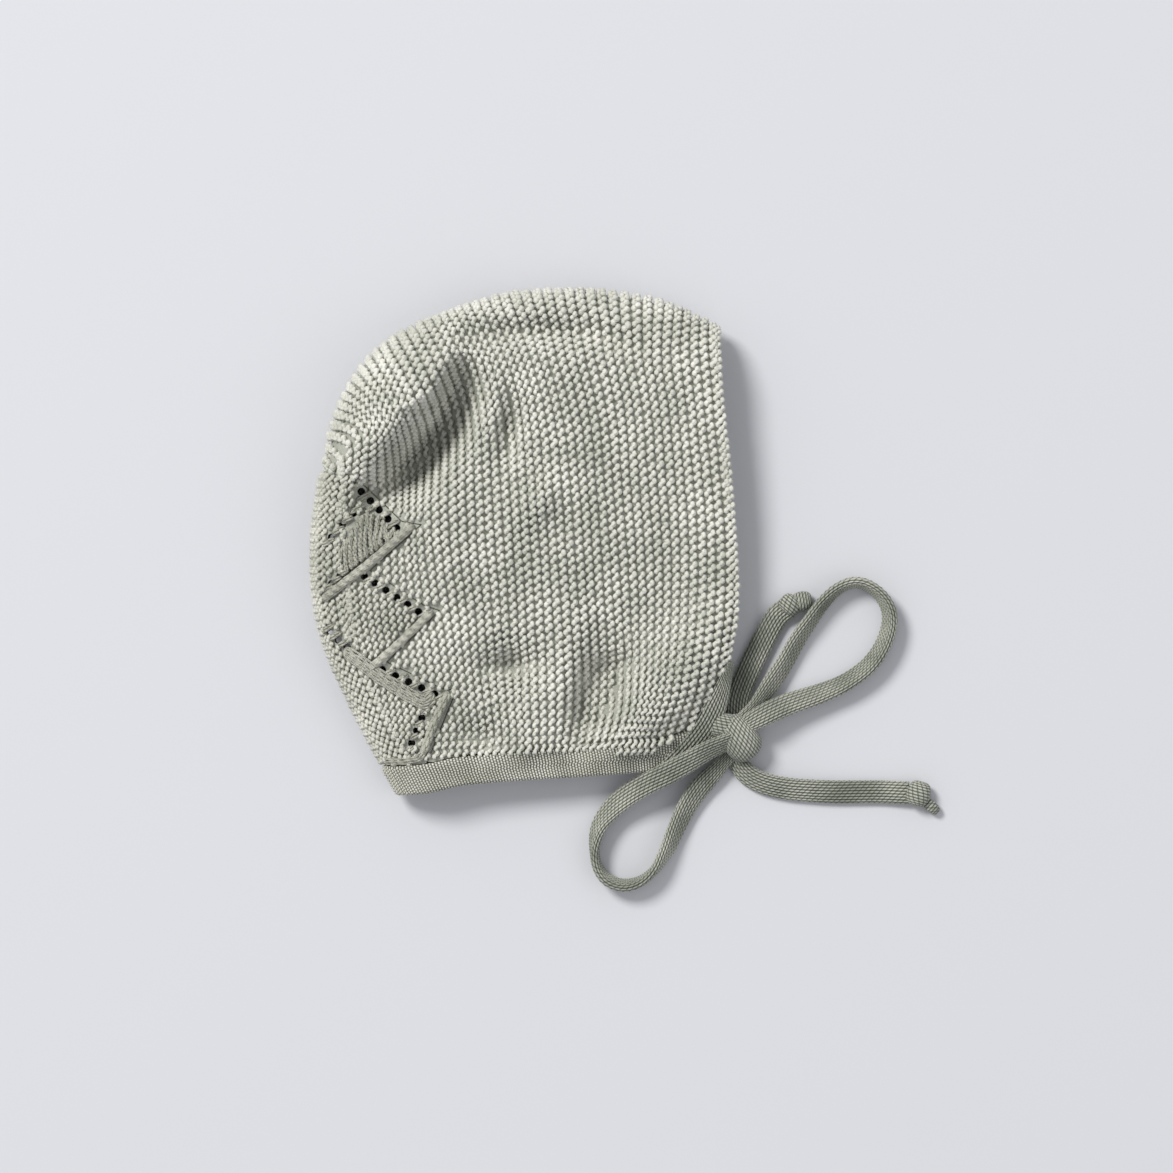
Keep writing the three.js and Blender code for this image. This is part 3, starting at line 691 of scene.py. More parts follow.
def garter_area():
    """The garter part of the hood in plan: behind the face edge, above the neck band, before the lace."""
    face = FACE_LINE - (0.8, 0)
    face = face[face[:, 1] > neck_height(face[:, 0]) + LINING_END]
    lace = lining_lace_edge(PIECE_GAP)[::-1]
    neck = lining_low_edge(face[-1, 0] - 1, lace[0, 0] + 1)
    corners = [(-HOOD_DEPTH, lace[-1, 1]), (-HOOD_DEPTH, HOOD_HEIGHT), (face[0, 0], HOOD_HEIGHT)]
    return np.vstack([face, neck, lace, corners])


def lace_area():
    """The lace panel in plan, above the neck band."""
    lace = lining_lace_edge(0.0)
    neck = lining_low_edge(lace[-1, 0] - 1, -0.58 * HOOD_DEPTH)
    return np.vstack([lace, neck, [(-HOOD_DEPTH, neck[-1, 1]), (-HOOD_DEPTH, lace[0, 1])]])


def shell(name):
    """The hood's thin inner wall, hollow between its two layers, in a darker yarn that paints the shade seen
    between the rows.
    """
    outside = pillow(name, LINING_DEPTH, LINING_DEPTH * 0.6)
    inside = pillow("inside", WALL, WALL)
    return carve(outside, inside, "DIFFERENCE")


def settle(made, **values):
    """Sets a node's inputs, for names that begin with in_, and its other properties."""
    for key, value in values.items():
        if key.startswith("in_"):
            name = key[3:].replace("_", " ")
            made.inputs[int(name) if name.isdigit() else name].default_value = value
        else:
            setattr(made, key, value)
    return made


def node(tree, kind, x, y, **values):
    """A new node at a place in its tree."""
    made = tree.nodes.new(kind)
    made.location = (x, y)
    return settle(made, **values)


def maths(tree, operation, x, y, **values):
    return node(tree, "ShaderNodeMath", x, y, operation=operation, **values)


def wire(tree, links):
    """Joins nodes. Each link is a node, its output, another node and its input."""
    for source, output, target, entry in links:
        tree.links.new(source.outputs[output], target.inputs[entry])


def new_group(name, entries, results):
    """A node group with numbers going in, at their usual values, and numbers coming out."""
    group = bpy.data.node_groups.new(name, "ShaderNodeTree")
    for entry, usual in entries.items():
        socket = group.interface.new_socket(entry, in_out="INPUT", socket_type="NodeSocketFloat")
        socket.default_value = usual
    for result in results:
        group.interface.new_socket(result, in_out="OUTPUT", socket_type="NodeSocketFloat")
    return group, node(group, "NodeGroupInput", -900, -200), node(group, "NodeGroupOutput", 550, 0)


def yarn_fibre_group():
    """Fine fibres and plies of cotton yarn: a height for bumps and a mask for shade."""
    group, enter, leave = new_group("yarn_fibre", {"Fibre Size": 2600, "Blotch Size": 60, "Plies": 0.5},
                                    ("Height", "Shade"))
    place = node(group, "ShaderNodeTexCoord", -900, 300)
    fibre = node(group, "ShaderNodeTexNoise", -500, 250, in_Detail=2.0, in_Roughness=0.6)
    blotch = node(group, "ShaderNodeTexNoise", -500, -50, in_Detail=3.0, in_Roughness=0.55)
    split = node(group, "ShaderNodeSeparateXYZ", -700, -350)
    turns = maths(group, "MULTIPLY", -500, -350, in_1=2.2)
    strands = maths(group, "MULTIPLY", -500, -520, in_1=18.85)
    spin = maths(group, "ADD", -300, -400)
    wave = maths(group, "SINE", -130, -400)
    ply = maths(group, "MULTIPLY", 30, -300)
    high = maths(group, "ADD", 200, 100)
    shade = maths(group, "MULTIPLY_ADD", 200, -100, in_1=0.5)
    wire(group, (
        (place, "Object", fibre, "Vector"), (place, "Object", blotch, "Vector"),
        (enter, "Fibre Size", fibre, "Scale"), (enter, "Blotch Size", blotch, "Scale"),
        (place, "UV", split, 0), (split, "X", turns, 0), (split, "Y", strands, 0),
        (turns, 0, spin, 0), (strands, 0, spin, 1), (spin, 0, wave, 0),
        (wave, 0, ply, 0), (enter, "Plies", ply, 1), (fibre, "Fac", high, 0), (ply, 0, high, 1),
        (fibre, "Fac", shade, 0), (blotch, "Fac", shade, 2),
        (high, 0, leave, "Height"), (shade, 0, leave, "Shade"),
    ))
    return group


def knit_gap_shade_group():
    """Narrow wales of slanted loops, read from a piece's wale map: 1 on the loops, 0 in the gaps between,
    where the yarn materials paint shade.
    """
    group, enter, leave = new_group("knit_gap_shade", {"Slant": 0.6, "Between": 0.35}, ("Loops",))
    place = node(group, "ShaderNodeTexCoord", -1100, 0)
    split = node(group, "ShaderNodeSeparateXYZ", -900, 0)
    shifted = maths(group, "ADD", -700, 100, in_1=0.5)
    across = maths(group, "FRACT", -550, 100)
    centred = maths(group, "SUBTRACT", -400, 100, in_1=0.5)
    from_middle = maths(group, "ABSOLUTE", -250, 200)
    column = node(group, "ShaderNodeMapRange", -100, 200, in_1=0.5, in_2=0.14)
    lean = maths(group, "MULTIPLY", -400, -100)
    along = maths(group, "ADD", -250, -100)
    wale = maths(group, "FLOOR", -550, -250)
    stagger = maths(group, "MULTIPLY_ADD", -180, -250, in_1=0.5)
    part = maths(group, "FRACT", -100, -100)
    half = maths(group, "SUBTRACT", 20, -100, in_1=0.5)
    apart = maths(group, "ABSOLUTE", 140, -100)
    loop = node(group, "ShaderNodeMapRange", 260, -100, in_1=0.5, in_2=0.28)
    both = maths(group, "MULTIPLY", 380, 50)
    wire(group, (
        (place, "UV", split, 0), (split, "Y", shifted, 0), (shifted, 0, across, 0), (across, 0, centred, 0),
        (centred, 0, from_middle, 0), (from_middle, 0, column, 0), (centred, 0, lean, 0),
        (enter, "Slant", lean, 1), (split, "X", along, 0), (lean, 0, along, 1), (shifted, 0, wale, 0),
        (wale, 0, stagger, 0), (along, 0, stagger, 2), (stagger, 0, part, 0), (part, 0, half, 0),
        (half, 0, apart, 0), (apart, 0, loop, 0), (enter, "Between", loop, 3),
        (column, 0, both, 0), (loop, 0, both, 1), (both, 0, leave, "Loops"),
    ))
    return group


YARN_FIBRE = yarn_fibre_group()
KNIT_GAP_SHADE = knit_gap_shade_group()


def plain_material(name, **values):
    """A material with one surface shader, and the shader."""
    material = bpy.data.materials.new(name)
    material.use_nodes = True
    return material, settle(material.node_tree.nodes["Principled BSDF"], **values)


def yarn_material(name, dark, light, plies=0.25, bump=0.6, gaps=None, between=0.0, slant=0.6):
    """Matt cotton yarn, blotched between two colours. gaps is painted shade: a near-black colour put in the
    grooves and holes between a fine knit's loops.
    """
    material, surface = plain_material(name, in_Roughness=0.88, in_Specular_IOR_Level=0.25,
                                       in_Sheen_Weight=0.2, in_Sheen_Roughness=0.5)
    tree = material.node_tree
    yarn = node(tree, "ShaderNodeGroup", -900, 0, node_tree=YARN_FIBRE, in_Fibre_Size=1700.0,
                in_Blotch_Size=60.0, in_Plies=plies)
    tint = node(tree, "ShaderNodeValToRGB", -650, 150)
    for stop, position, colour in zip(tint.color_ramp.elements, (0.55, 0.95), (dark, light)):
        stop.position = position
        stop.color = (*colour, 1)
    relief = node(tree, "ShaderNodeBump", -250, -200, in_Strength=bump, in_Distance=0.0005)
    wire(tree, ((yarn, "Shade", tint, "Fac"), (yarn, "Height", relief, "Height"),
                (relief, "Normal", surface, "Normal")))
    # Painted shade: where the fine knit's mask falls to 0, between the loops, the gaps colour takes the
    # place of the yarn's colour
    if gaps:
        knit = node(tree, "ShaderNodeGroup", -900, -300, node_tree=KNIT_GAP_SHADE, in_Between=between,
                    in_Slant=slant)
        shaded = node(tree, "ShaderNodeMix", -250, 100, data_type="RGBA", in_A=(*gaps, 1))
        wire(tree, ((knit, "Loops", shaded, "Factor"), (tint, "Color", shaded, "B"),
                    (shaded, "Result", surface, "Base Color")))
    else:
        wire(tree, ((tint, "Color", surface, "Base Color"),))
    return material


GARTER_YARN = yarn_material("garter_yarn", (0.50, 0.505, 0.43), (0.775, 0.762, 0.69))
LACE_YARN = yarn_material("lace_yarn", (0.45, 0.455, 0.38), (0.72, 0.705, 0.625))
# The band's and the ties' gaps colours are painted shade, near black between their loops
BAND_YARN = yarn_material("band_yarn", (0.54, 0.54, 0.45), (0.84, 0.825, 0.73), plies=0.0,
                          gaps=(0.02, 0.023, 0.016), slant=0.0)
TIE_YARN = yarn_material("tie_yarn", (0.25, 0.27, 0.215), (0.58, 0.585, 0.50), plies=0.0,
                         gaps=(0.035, 0.042, 0.03), between=0.2)
BAR_YARN = yarn_material("bar_yarn", (0.36, 0.365, 0.29), (0.66, 0.645, 0.55), bump=1.5)
# The linings' yarn: the knitted body under the loops, darker than the rows' yarn as painted shade between
# the loops and inside the hood
LINING_YARN_PAINTED_SHADE = yarn_material("lining_yarn_painted_shade", (0.34, 0.35, 0.295), (0.46, 0.465, 0.40), plies=0.0, bump=0.8)

# The camera in metres, except its lens and sensor: the width it sees, and the place it looks at from above
LENS = 190
SENSOR = 36
SEEN_WIDTH = 0.393
SEEN_MIDDLE = (0.0205, -0.0147, 0.012)

# Soft lamps: name, place, size, power and tint
LAMPS = (
    ("key_light", (-2.1, 2.1, 3.2), 1.5, 165.0, (1.0, 0.99, 0.985)),
    ("fill_light", (1.6, -0.6, 1.8), 1.8, 5.0, (0.95, 0.97, 1.0)),
)
LAMPS_AIM = Vector((0.01, 0, 0))
SKY = (0.94, 0.955, 1.0, 1)
SKY_STRENGTH = 0.56
FLOOR_REACH = 6000


def stage_setup():
    """The camera straight above, the pale floor and the soft light from the upper left."""
    scene = bpy.context.scene
    scene.view_settings.view_transform = "Standard"
    camera = bpy.data.objects.new("camera", bpy.data.cameras.new("camera"))
    scene.collection.objects.link(camera)
    camera.data.lens = LENS
    camera.data.sensor_width = SENSOR
    camera.data.clip_end = 20
    x, y, z = SEEN_MIDDLE
    camera.location = (x, y, z + SEEN_WIDTH / SENSOR * LENS)
    scene.camera = camera
    cloth, _ = plain_material("pale_floor", in_Base_Color=(0.615, 0.62, 0.64, 1), in_Roughness=0.8,
                              in_Specular_IOR_Level=0.1)
    corners = [(x * FLOOR_REACH, y * FLOOR_REACH, 0) for x, y in ((-1, -1), (1, -1), (1, 1), (-1, 1))]
    floor = mesh_object("floor", corners, [[(0, 1, 2, 3)]], cloth)
    world = bpy.data.worlds.new("studio")
    scene.world = world
    world.use_nodes = True
    settle(world.node_tree.nodes["Background"], in_Color=SKY, in_Strength=SKY_STRENGTH)
    for name, place, size, power, tint in LAMPS:
        lamp = bpy.data.lights.new(name, "AREA")
        lamp.shape = "DISK"
        lamp.size = size
        lamp.energy = power
        lamp.color = tint
        holder = bpy.data.objects.new(name, lamp)
        holder.location = place
        holder.rotation_euler = (LAMPS_AIM - Vector(place)).to_track_quat("-Z", "Y").to_euler()
        scene.collection.objects.link(holder)


stage_setup()

# The ties' courses in millimetres, each with the tape's turn in degrees: 0 lies flat, 90 stands on edge
TIE_1 = [
    (64.6, -67.4, 3.6, 0), (68.2, -66.2, 6.2, 0), (71.8, -62.6, 8.6, 10), (78.6, -58.6, 8.4, 15),
    (87.3, -54.6, 6.2, 22), (99.5, -50.5, 4.2, 38), (107.7, -46.9, 4.0, 48), (115.0, -41.6, 4.0, 52),
    (119.8, -35.1, 4.1, 56), (122.3, -27.8, 4.2, 60), (121.9, -22.1, 4.3, 66), (119.0, -17.3, 4.3, 72),
    (114.2, -14.0, 4.3, 76), (109.3, -13.6, 4.3, 76), (104.4, -16.0, 4.2, 72), (100.0, -20.4, 4.1, 66),
    (95.7, -26.4, 4.0, 60), (91.4, -32.9, 3.8, 52), (87.2, -40.4, 3.7, 46), (82.6, -47.4, 4.2, 40),
    (78.2, -53.4, 5.0, 36), (72.6, -60.4, 5.2, 20), (72.3, -64.5, 3.8, 0), (71.3, -68.2, 3.0, -25),
    (71.2, -72.8, 2.9, -35), (74.2, -77.5, 2.9, -32), (79.6, -80.7, 2.8, -26), (87.3, -82.6, 2.6, -20),
    (95.5, -83.4, 2.4, -15), (103.6, -83.8, 2.2, -10), (111.7, -83.8, 1.9, -5), (119.8, -83.8, 1.8, -3),
    (129.0, -84.2, 2.3, 0),
]
TIE_2 = [
    (64.6, -64.6, 2.6, 0), (69.6, -62.8, 4.4, 0), (72.8, -64.6, 7.2, 20), (69.6, -66.0, 9.4, 40),
    (62.2, -69.2, 10.6, 40), (54.9, -73.3, 11.2, 24), (47.6, -77.3, 11.0, 8), (41.1, -80.6, 9.0, -4),
    (34.6, -84.6, 6.4, -16), (28.9, -89.5, 4.4, -34), (24.8, -95.2, 4.0, -58), (23.2, -101.7, 4.0, -80),
    (24.0, -108.2, 4.1, -98), (27.3, -113.1, 4.1, -106), (32.9, -115.1, 4.1, -106),
    (38.6, -113.8, 4.1, -98), (43.5, -109.8, 4.1, -84), (47.6, -103.3, 4.0, -62), (50.8, -96.0, 3.8, -48),
    (54.3, -88.7, 3.7, -38), (59.0, -82.0, 3.6, -30), (64.4, -76.2, 4.0, -20), (70.0, -69.8, 4.6, -10),
    (72.4, -66.4, 3.4, 0), (71.6, -62.4, 2.2, 0), (71.2, -56.8, 1.9, 0), (72.0, -51.0, 1.8, 4),
    (75.4, -42.4, 1.8, 4), (80.0, -32.9, 1.8, 2), (84.4, -25.2, 1.9, 0), (88.0, -22.0, 2.6, 0),
]


LOOP_LENGTH = 1.8
LOBE_WALE = 1.05
LEAST_Z = 0.05


def tape_section(width, thickness, samples):
    """Points evenly round a flat tape's rounded section, with the ways out."""
    turn = np.linspace(0, 2 * math.pi, 721)[:-1] - math.pi / 2
    power = 2 / 3.2
    ring = np.column_stack([
        width / 2 * np.sign(np.cos(turn)) * np.abs(np.cos(turn)) ** power,
        thickness / 2 * np.sign(np.sin(turn)) * np.abs(np.sin(turn)) ** power,
    ])
    ring, along = closed_evenly(ring, samples)
    return ring, np.column_stack([along[:, 1], -along[:, 0]])


def tape_relief(along, across, depth):
    """Fine knitted wales: rounded columns of slanted loops with small holes in the grooves between them."""
    within_wale = across - np.round(across)
    column = np.cos(math.pi * within_wale) ** 0.8
    loops = np.cos(2 * math.pi * (along / LOOP_LENGTH + 0.6 * within_wale + 0.5 * np.round(across)))
    groove = np.abs(within_wale) * 2
    side = np.where(within_wale > 0, np.round(across) + 0.5, np.round(across) - 0.5)
    holes = np.cos(2 * math.pi * (along / LOOP_LENGTH + 0.5 * np.mod(side - 0.5, 2)))
    return depth * (column - 0.75 + 0.16 * loops * (1 - groove) - 0.45 * np.maximum(holes, 0) * groove ** 2)


def tape(name, course, width, thickness, pinch):
    """A flat knitted tape along a course of points and turns. Returns the piece and its centre line."""
    dense = curve(course, 40 * len(course))
    run = lengths_along(dense[:, :3])
    count = int(run[-1] / TAPE_STEP) + 1
    at = np.linspace(0, run[-1], count)
    line = read_at(at, run, dense)
    path = line[:, :3]
    ahead = unit(np.gradient(path, axis=0))
    left = unit(np.column_stack([-ahead[:, 1], ahead[:, 0], np.zeros(count)]))
    up = np.cross(ahead, left)
    turn = np.radians(line[:, 3])[:, None]
    face = np.cos(turn) * up + np.sin(turn) * left
    wide = np.cross(face, ahead)
    samples = TAPE_WALES * 4
    wales = np.arange(samples) / 4
    ring, out = tape_section(width, thickness, samples)
    narrow = pinch(at, run[-1])
    relief = tape_relief(at[:, None], wales[None, :], TAPE_RELIEF)
    section = ring[None, :, :] * np.stack([narrow, 0.5 + 0.5 * narrow], axis=1)[:, None, :]
    section = section + out[None, :, :] * relief[:, :, None]
    points = path[:, None, :] + wide[:, None, :] * section[..., :1] + face[:, None, :] * section[..., 1:]
    points[..., 2] = np.maximum(points[..., 2], LEAST_Z)
    piece = tube(name, points, loop_map(at[:, None] / LOOP_LENGTH, wales), TIE_YARN)
    return piece, path[::4]


def knot_lobe(name, centre, sizes, turn, rows, around, tilt=0.0):
    """A rounded bundle of tape wound round its long axis, with its wales running round it."""
    length, width, height = sizes
    a = np.linspace(0, math.pi, rows)[:, None]
    b = np.linspace(0, 2 * math.pi, around, endpoint=False)[None, :]
    round_it = b * (width + height) / 4 + 0 * a
    wale_number = (math.pi / 2 - a) * length / 2 / LOBE_WALE + 0 * b
    relief = tape_relief(round_it, wale_number, 0.2)
    radial = np.sin(a) ** 0.55
    x = np.cos(a) * (length / 2) + 0 * b
    y = radial * np.cos(b + tilt * np.cos(a)) * (width / 2 + relief)
    z = radial * np.sin(b + tilt * np.cos(a)) * (height / 2 + relief)
    angle = math.radians(turn)
    points = np.stack([
        centre[0] + x * math.cos(angle) - y * math.sin(angle),
        centre[1] + x * math.sin(angle) + y * math.cos(angle),
        np.maximum(centre[2] + z, LEAST_Z),
    ], axis=-1)
    places = loop_map(round_it / LOOP_LENGTH, wale_number)
    return tube(name, points[1:-1], places[1:-1], TIE_YARN, turned=True)


def join(name, pieces):
    """One object from several."""
    mesh = bmesh.new()
    for piece in pieces:
        mesh.from_mesh(piece.data)
    joined = bpy.data.meshes.new(name)
    mesh.to_mesh(joined)
    mesh.free()
    joined.materials.append(pieces[0].data.materials[0])
    whole = bpy.data.objects.new(name, joined)
    bpy.context.scene.collection.objects.link(whole)
    for piece in pieces:
        bpy.data.objects.remove(piece)
    return whole


def in_knot(spots):
    """How the tape narrows where it runs through the knot."""
    def narrow(at, whole):
        width = np.ones_like(at)
        for middle, reach in spots:
            width -= 0.38 * np.exp(-((at - middle) / reach) ** 2)
        return np.maximum(width, 0.5)
    return narrow


def make_ties():
    """Both ties, each a continuous tape through the bow, with the knots on them."""
    bow = join("bow_wrap", [
        knot_lobe("wrap", (71.6, -65.6, 6.2), (12.6, 16.6, 12.0), 40, 84, 100, tilt=0.25),
        knot_lobe("wrap_edge", (66.6, -61.6, 6.2), (9.0, 10.4, 9.6), 78, 60, 76, tilt=0.4),
    ])
    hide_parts("bow_knot")
    end_1 = join("right_end_knot", [
        knot_lobe("end", (132.2, -84.4, 3.4), (8.6, 8.0, 6.6), 75, 60, 60, tilt=0.6),
        knot_lobe("tab", (136.4, -88.6, 2.0), (6.6, 4.0, 3.4), -42, 44, 40),
    ])
    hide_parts("tie_1_end_knot")
    end_2 = join("upper_end_knot", [
        knot_lobe("end", (89.0, -20.8, 3.2), (6.4, 7.6, 6.2), 50, 50, 50, tilt=0.5),
        knot_lobe("tab", (93.0, -19.6, 2.9), (6.8, 6.6, 5.4), 10, 50, 50, tilt=-0.5),
    ])
    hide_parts("tie_2_end_knot")
    facts = (
        ("tie_tape_right", TIE_1, ("tie_1_loop", "tie_1_tail"), [bow, end_1], [(8, 7), (152, 7)]),
        ("tie_tape_upper", TIE_2, ("tie_2_loop", "tie_2_tail"), [end_2], [(9, 7), (152, 7)]),
    )
    for name, course, nodes, knots, narrows in facts:
        piece, path = tape(name, course, TAPE_WIDTH, TAPE_THICKNESS, in_knot(narrows))
        length = lengths_along(path)[-1] * MM
        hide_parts(*nodes)
        [c * MM for c in course[0][:3]]
        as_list(knots)
        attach(piece, "root")
        print(name, "is", round(length * 1000, 1), "mm long")
    for knot in (bow, end_1, end_2):
        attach(knot, "root")


make_ties()


EYELET_RUNS = [
    ((-0.38, 0.1), (-0.297, 0.028), 5), ((-0.397, 0.057), (-0.448, 0.01), 3),
    ((-0.329, 0.007), (-0.448, -0.081), 7), ((-0.372, -0.066), (-0.247, -0.136), 6),
    ((-0.454, -0.178), (-0.392, -0.219), 4), ((-0.331, -0.25), (-0.21, -0.298), 5),
    ((-0.24, -0.345), (-0.264, -0.395), 3),
]
EYELET_DIAMETER = 2.6
LACE_BARS = [
    ((-0.259, 0.032), (-0.47, -0.1135), 2.9), ((-0.216, -0.135), (-0.363, -0.25), 2.6),
    ((-0.179, -0.296), (-0.238, -0.415), 3.0),
]

# The leaf of long upright strands in the upper point of the lace, and the strands below the last eyelets
LEAF = [(-53.4, 12.4), (-40.4, 3.0), (-60.4, -11.6), (-62.6, -2.4)]
SWEPT_STRANDS = [(-60.5, -36.0), (-54.5, -40.2), (-48.7, -44.6), (-42.6, -48.6), (-37.3, -51.8),
                 (-33.6, -53.2), (-31.0, -50.4)]
LOW_STRANDS = [(-33.4, -69.4), (-36.0, -72.2), (-41.0, -73.2), (-48.0, -73.4)]


def runs_of_eyelets():
    """The middles of the eyelets, one array for each run."""
    for start, end, holes in EYELET_RUNS:
        share = np.linspace(0, 1, holes)[:, None]
        yield shares_to_mm([start]) * (1 - share) + shares_to_mm([end]) * share


def distance_to(x, y, start, end):
    """How far each place is from a straight piece of line."""
    along = np.subtract(end, start)
    share = np.clip(((x - start[0]) * along[0] + (y - start[1]) * along[1]) / (along @ along), 0, 1)
    return np.hypot(x - start[0] - share * along[0], y - start[1] - share * along[1])


def laid_strands(group, plan, count, wide, radius, lift, under, twist=0.0, crown=0.0, tuck=1.2, wave=0.0):
    """Lays parallel or twisted strands along a course in plan, their ends drawn together and tucked in."""
    dense = curve(plan, 30 * len(plan))
    plan = evenly(dense, max(int(lengths_along(dense)[-1] / 0.7), 5))
    points, normals = skin(plan[:, 0], plan[:, 1], under)
    run = lengths_along(points)
    across = unit(np.cross(np.gradient(points, axis=0), normals))
    to_end = np.minimum(run, run[-1] - run)
    spread = np.sqrt(np.clip(to_end / tuck, 0.06, 1))
    dip = 1.5 * np.exp(-(to_end / (0.55 * tuck)) ** 2)
    for k in range(count):
        place = (k - (count - 1) / 2) / max(count - 1, 1) * 2
        if twist:
            turn = 2 * math.pi * (run / twist + k / count)
            aside, high = wide / 2 * np.cos(turn) * spread, wide / 2 * np.sin(turn) * spread + lift
        else:
            sway = wave * np.sin(run * 1.1 + RANDOM.uniform(0, 6.3))
            aside, high = (place * wide / 2 + sway) * spread, lift + crown * (1 - place ** 2) + sway * 0.5
        path = points + across * aside[:, None] + normals * (high - dip)[:, None]
        group.add(path, normals, radius * (1 + RANDOM.normal(0, 0.04)))


def edge_rows(first, last):
    """Rows side by side round the folded edge of the hood's back, between two places on its outline."""
    line = EDGE_LINE[first:last]
    inward = EDGE_INWARD[first:last]
    for under, bends in ((False, (0, 11, 22, 33, 45, 57, 69)), (True, (12, 24, 36, 48, 60, 72))):
        for bend in bends:
            plan = line + inward * (0.02 + FOLD_RADIUS * (1 - math.cos(math.radians(bend))))
            points, normals = skin(plan[::3, 0], plan[::3, 1], under)
            yield points, normals, np.full(len(points), 2.8), np.full(len(points), float(under))


# Where the garter rows end at the chin corner: depths and heights, and the binding's course beyond them
CHIN_CORNER = (
    (-70, 36, 45.0, 56.8, 61.8, 66.2, 70.0, 76),
    (-200, -73, -68.4, -61.7, -56.0, -47.6, -38.4, -31),
)
CHIN_COURSE = [(47.6, -76.6), (52.4, -71.6), (57.0, -66.2), (61.0, -60.4), (64.2, -53.6), (66.7, -46.8),
               (68.8, -40.0)]

# The rows' middles sink this far into the skin, and those of the finer selvage a little less
ROW_SUNK = 1.4
SELVAGE_SUNK = 1.3
SELVAGE_STITCH = 2.7


def make_hood():
    """The garter-stitch hood: a thin inner shell, and its rows of yarn on both layers."""
    base = shell("hood_lining")
    carve(base, prism("keep", garter_area()), "INTERSECT")
    front, middle, crown, under_front, under_back = (Strands(sides) for sides in (6, 6, 6, 3, 3))
    lace = lace_plan(0.4)

    def keep(centre, side):
        x, y = centre[:, 0], centre[:, 1]
        overlap = 0.6 + 2.8 * np.clip((x - 18) / 25, 0, 1) - 1.8 * np.clip((-24 - x) / 6, 0, 1)
        free = (y > neck_height(x) + BAND_HEIGHT - overlap) & (y > np.interp(x, *CHIN_CORNER))
        return free & ~within(x, y, lace) & (x < face_depth(y) - 2.2)

    def over_band(base):
        below = neck_height(base[:, 0]) + BAND_HEIGHT + 1.2 - base[:, 1]
        return 1.7 * np.clip(below / 1.8, 0, 1) * (base[:, 2] > 5)

    for number in range(1, 48):
        upper = front if number <= 16 else middle if number <= 30 else crown
        under = under_front if number <= 24 else under_back

        def strands_for(centre, side):
            return [under if s > 0.5 and z < 5.0 else upper for s, z in zip(side, centre[:, 2])]

        knit_row(row_on_skin(number), STITCH, strands_for, keep, ROW_SUNK, lift=over_band)

    def above_chin(centre, side):
        return centre[:, 1] > CHIN_COURSE[-1][1]

    selvage = FACE_LINE[::-1][FACE_LINE[::-1, 1] > -80] - (1.25, 0)

    def front_only(centre, side):
        return [front] * len(centre)

    knit_row(edge_on_skin(selvage, SELVAGE_STITCH), SELVAGE_STITCH, front_only, above_chin, SELVAGE_SUNK)
    pieces = [base]
    for part, strands in (("front", front), ("middle", middle), ("crown", crown),
                          ("under_front", under_front), ("under_back", under_back)):
        pieces.append(strands.build("garter_rows_" + part, GARTER_YARN))
    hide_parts("hood_body")
    for piece in pieces:
        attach(piece, "root")


LACE_STITCH = 2.6

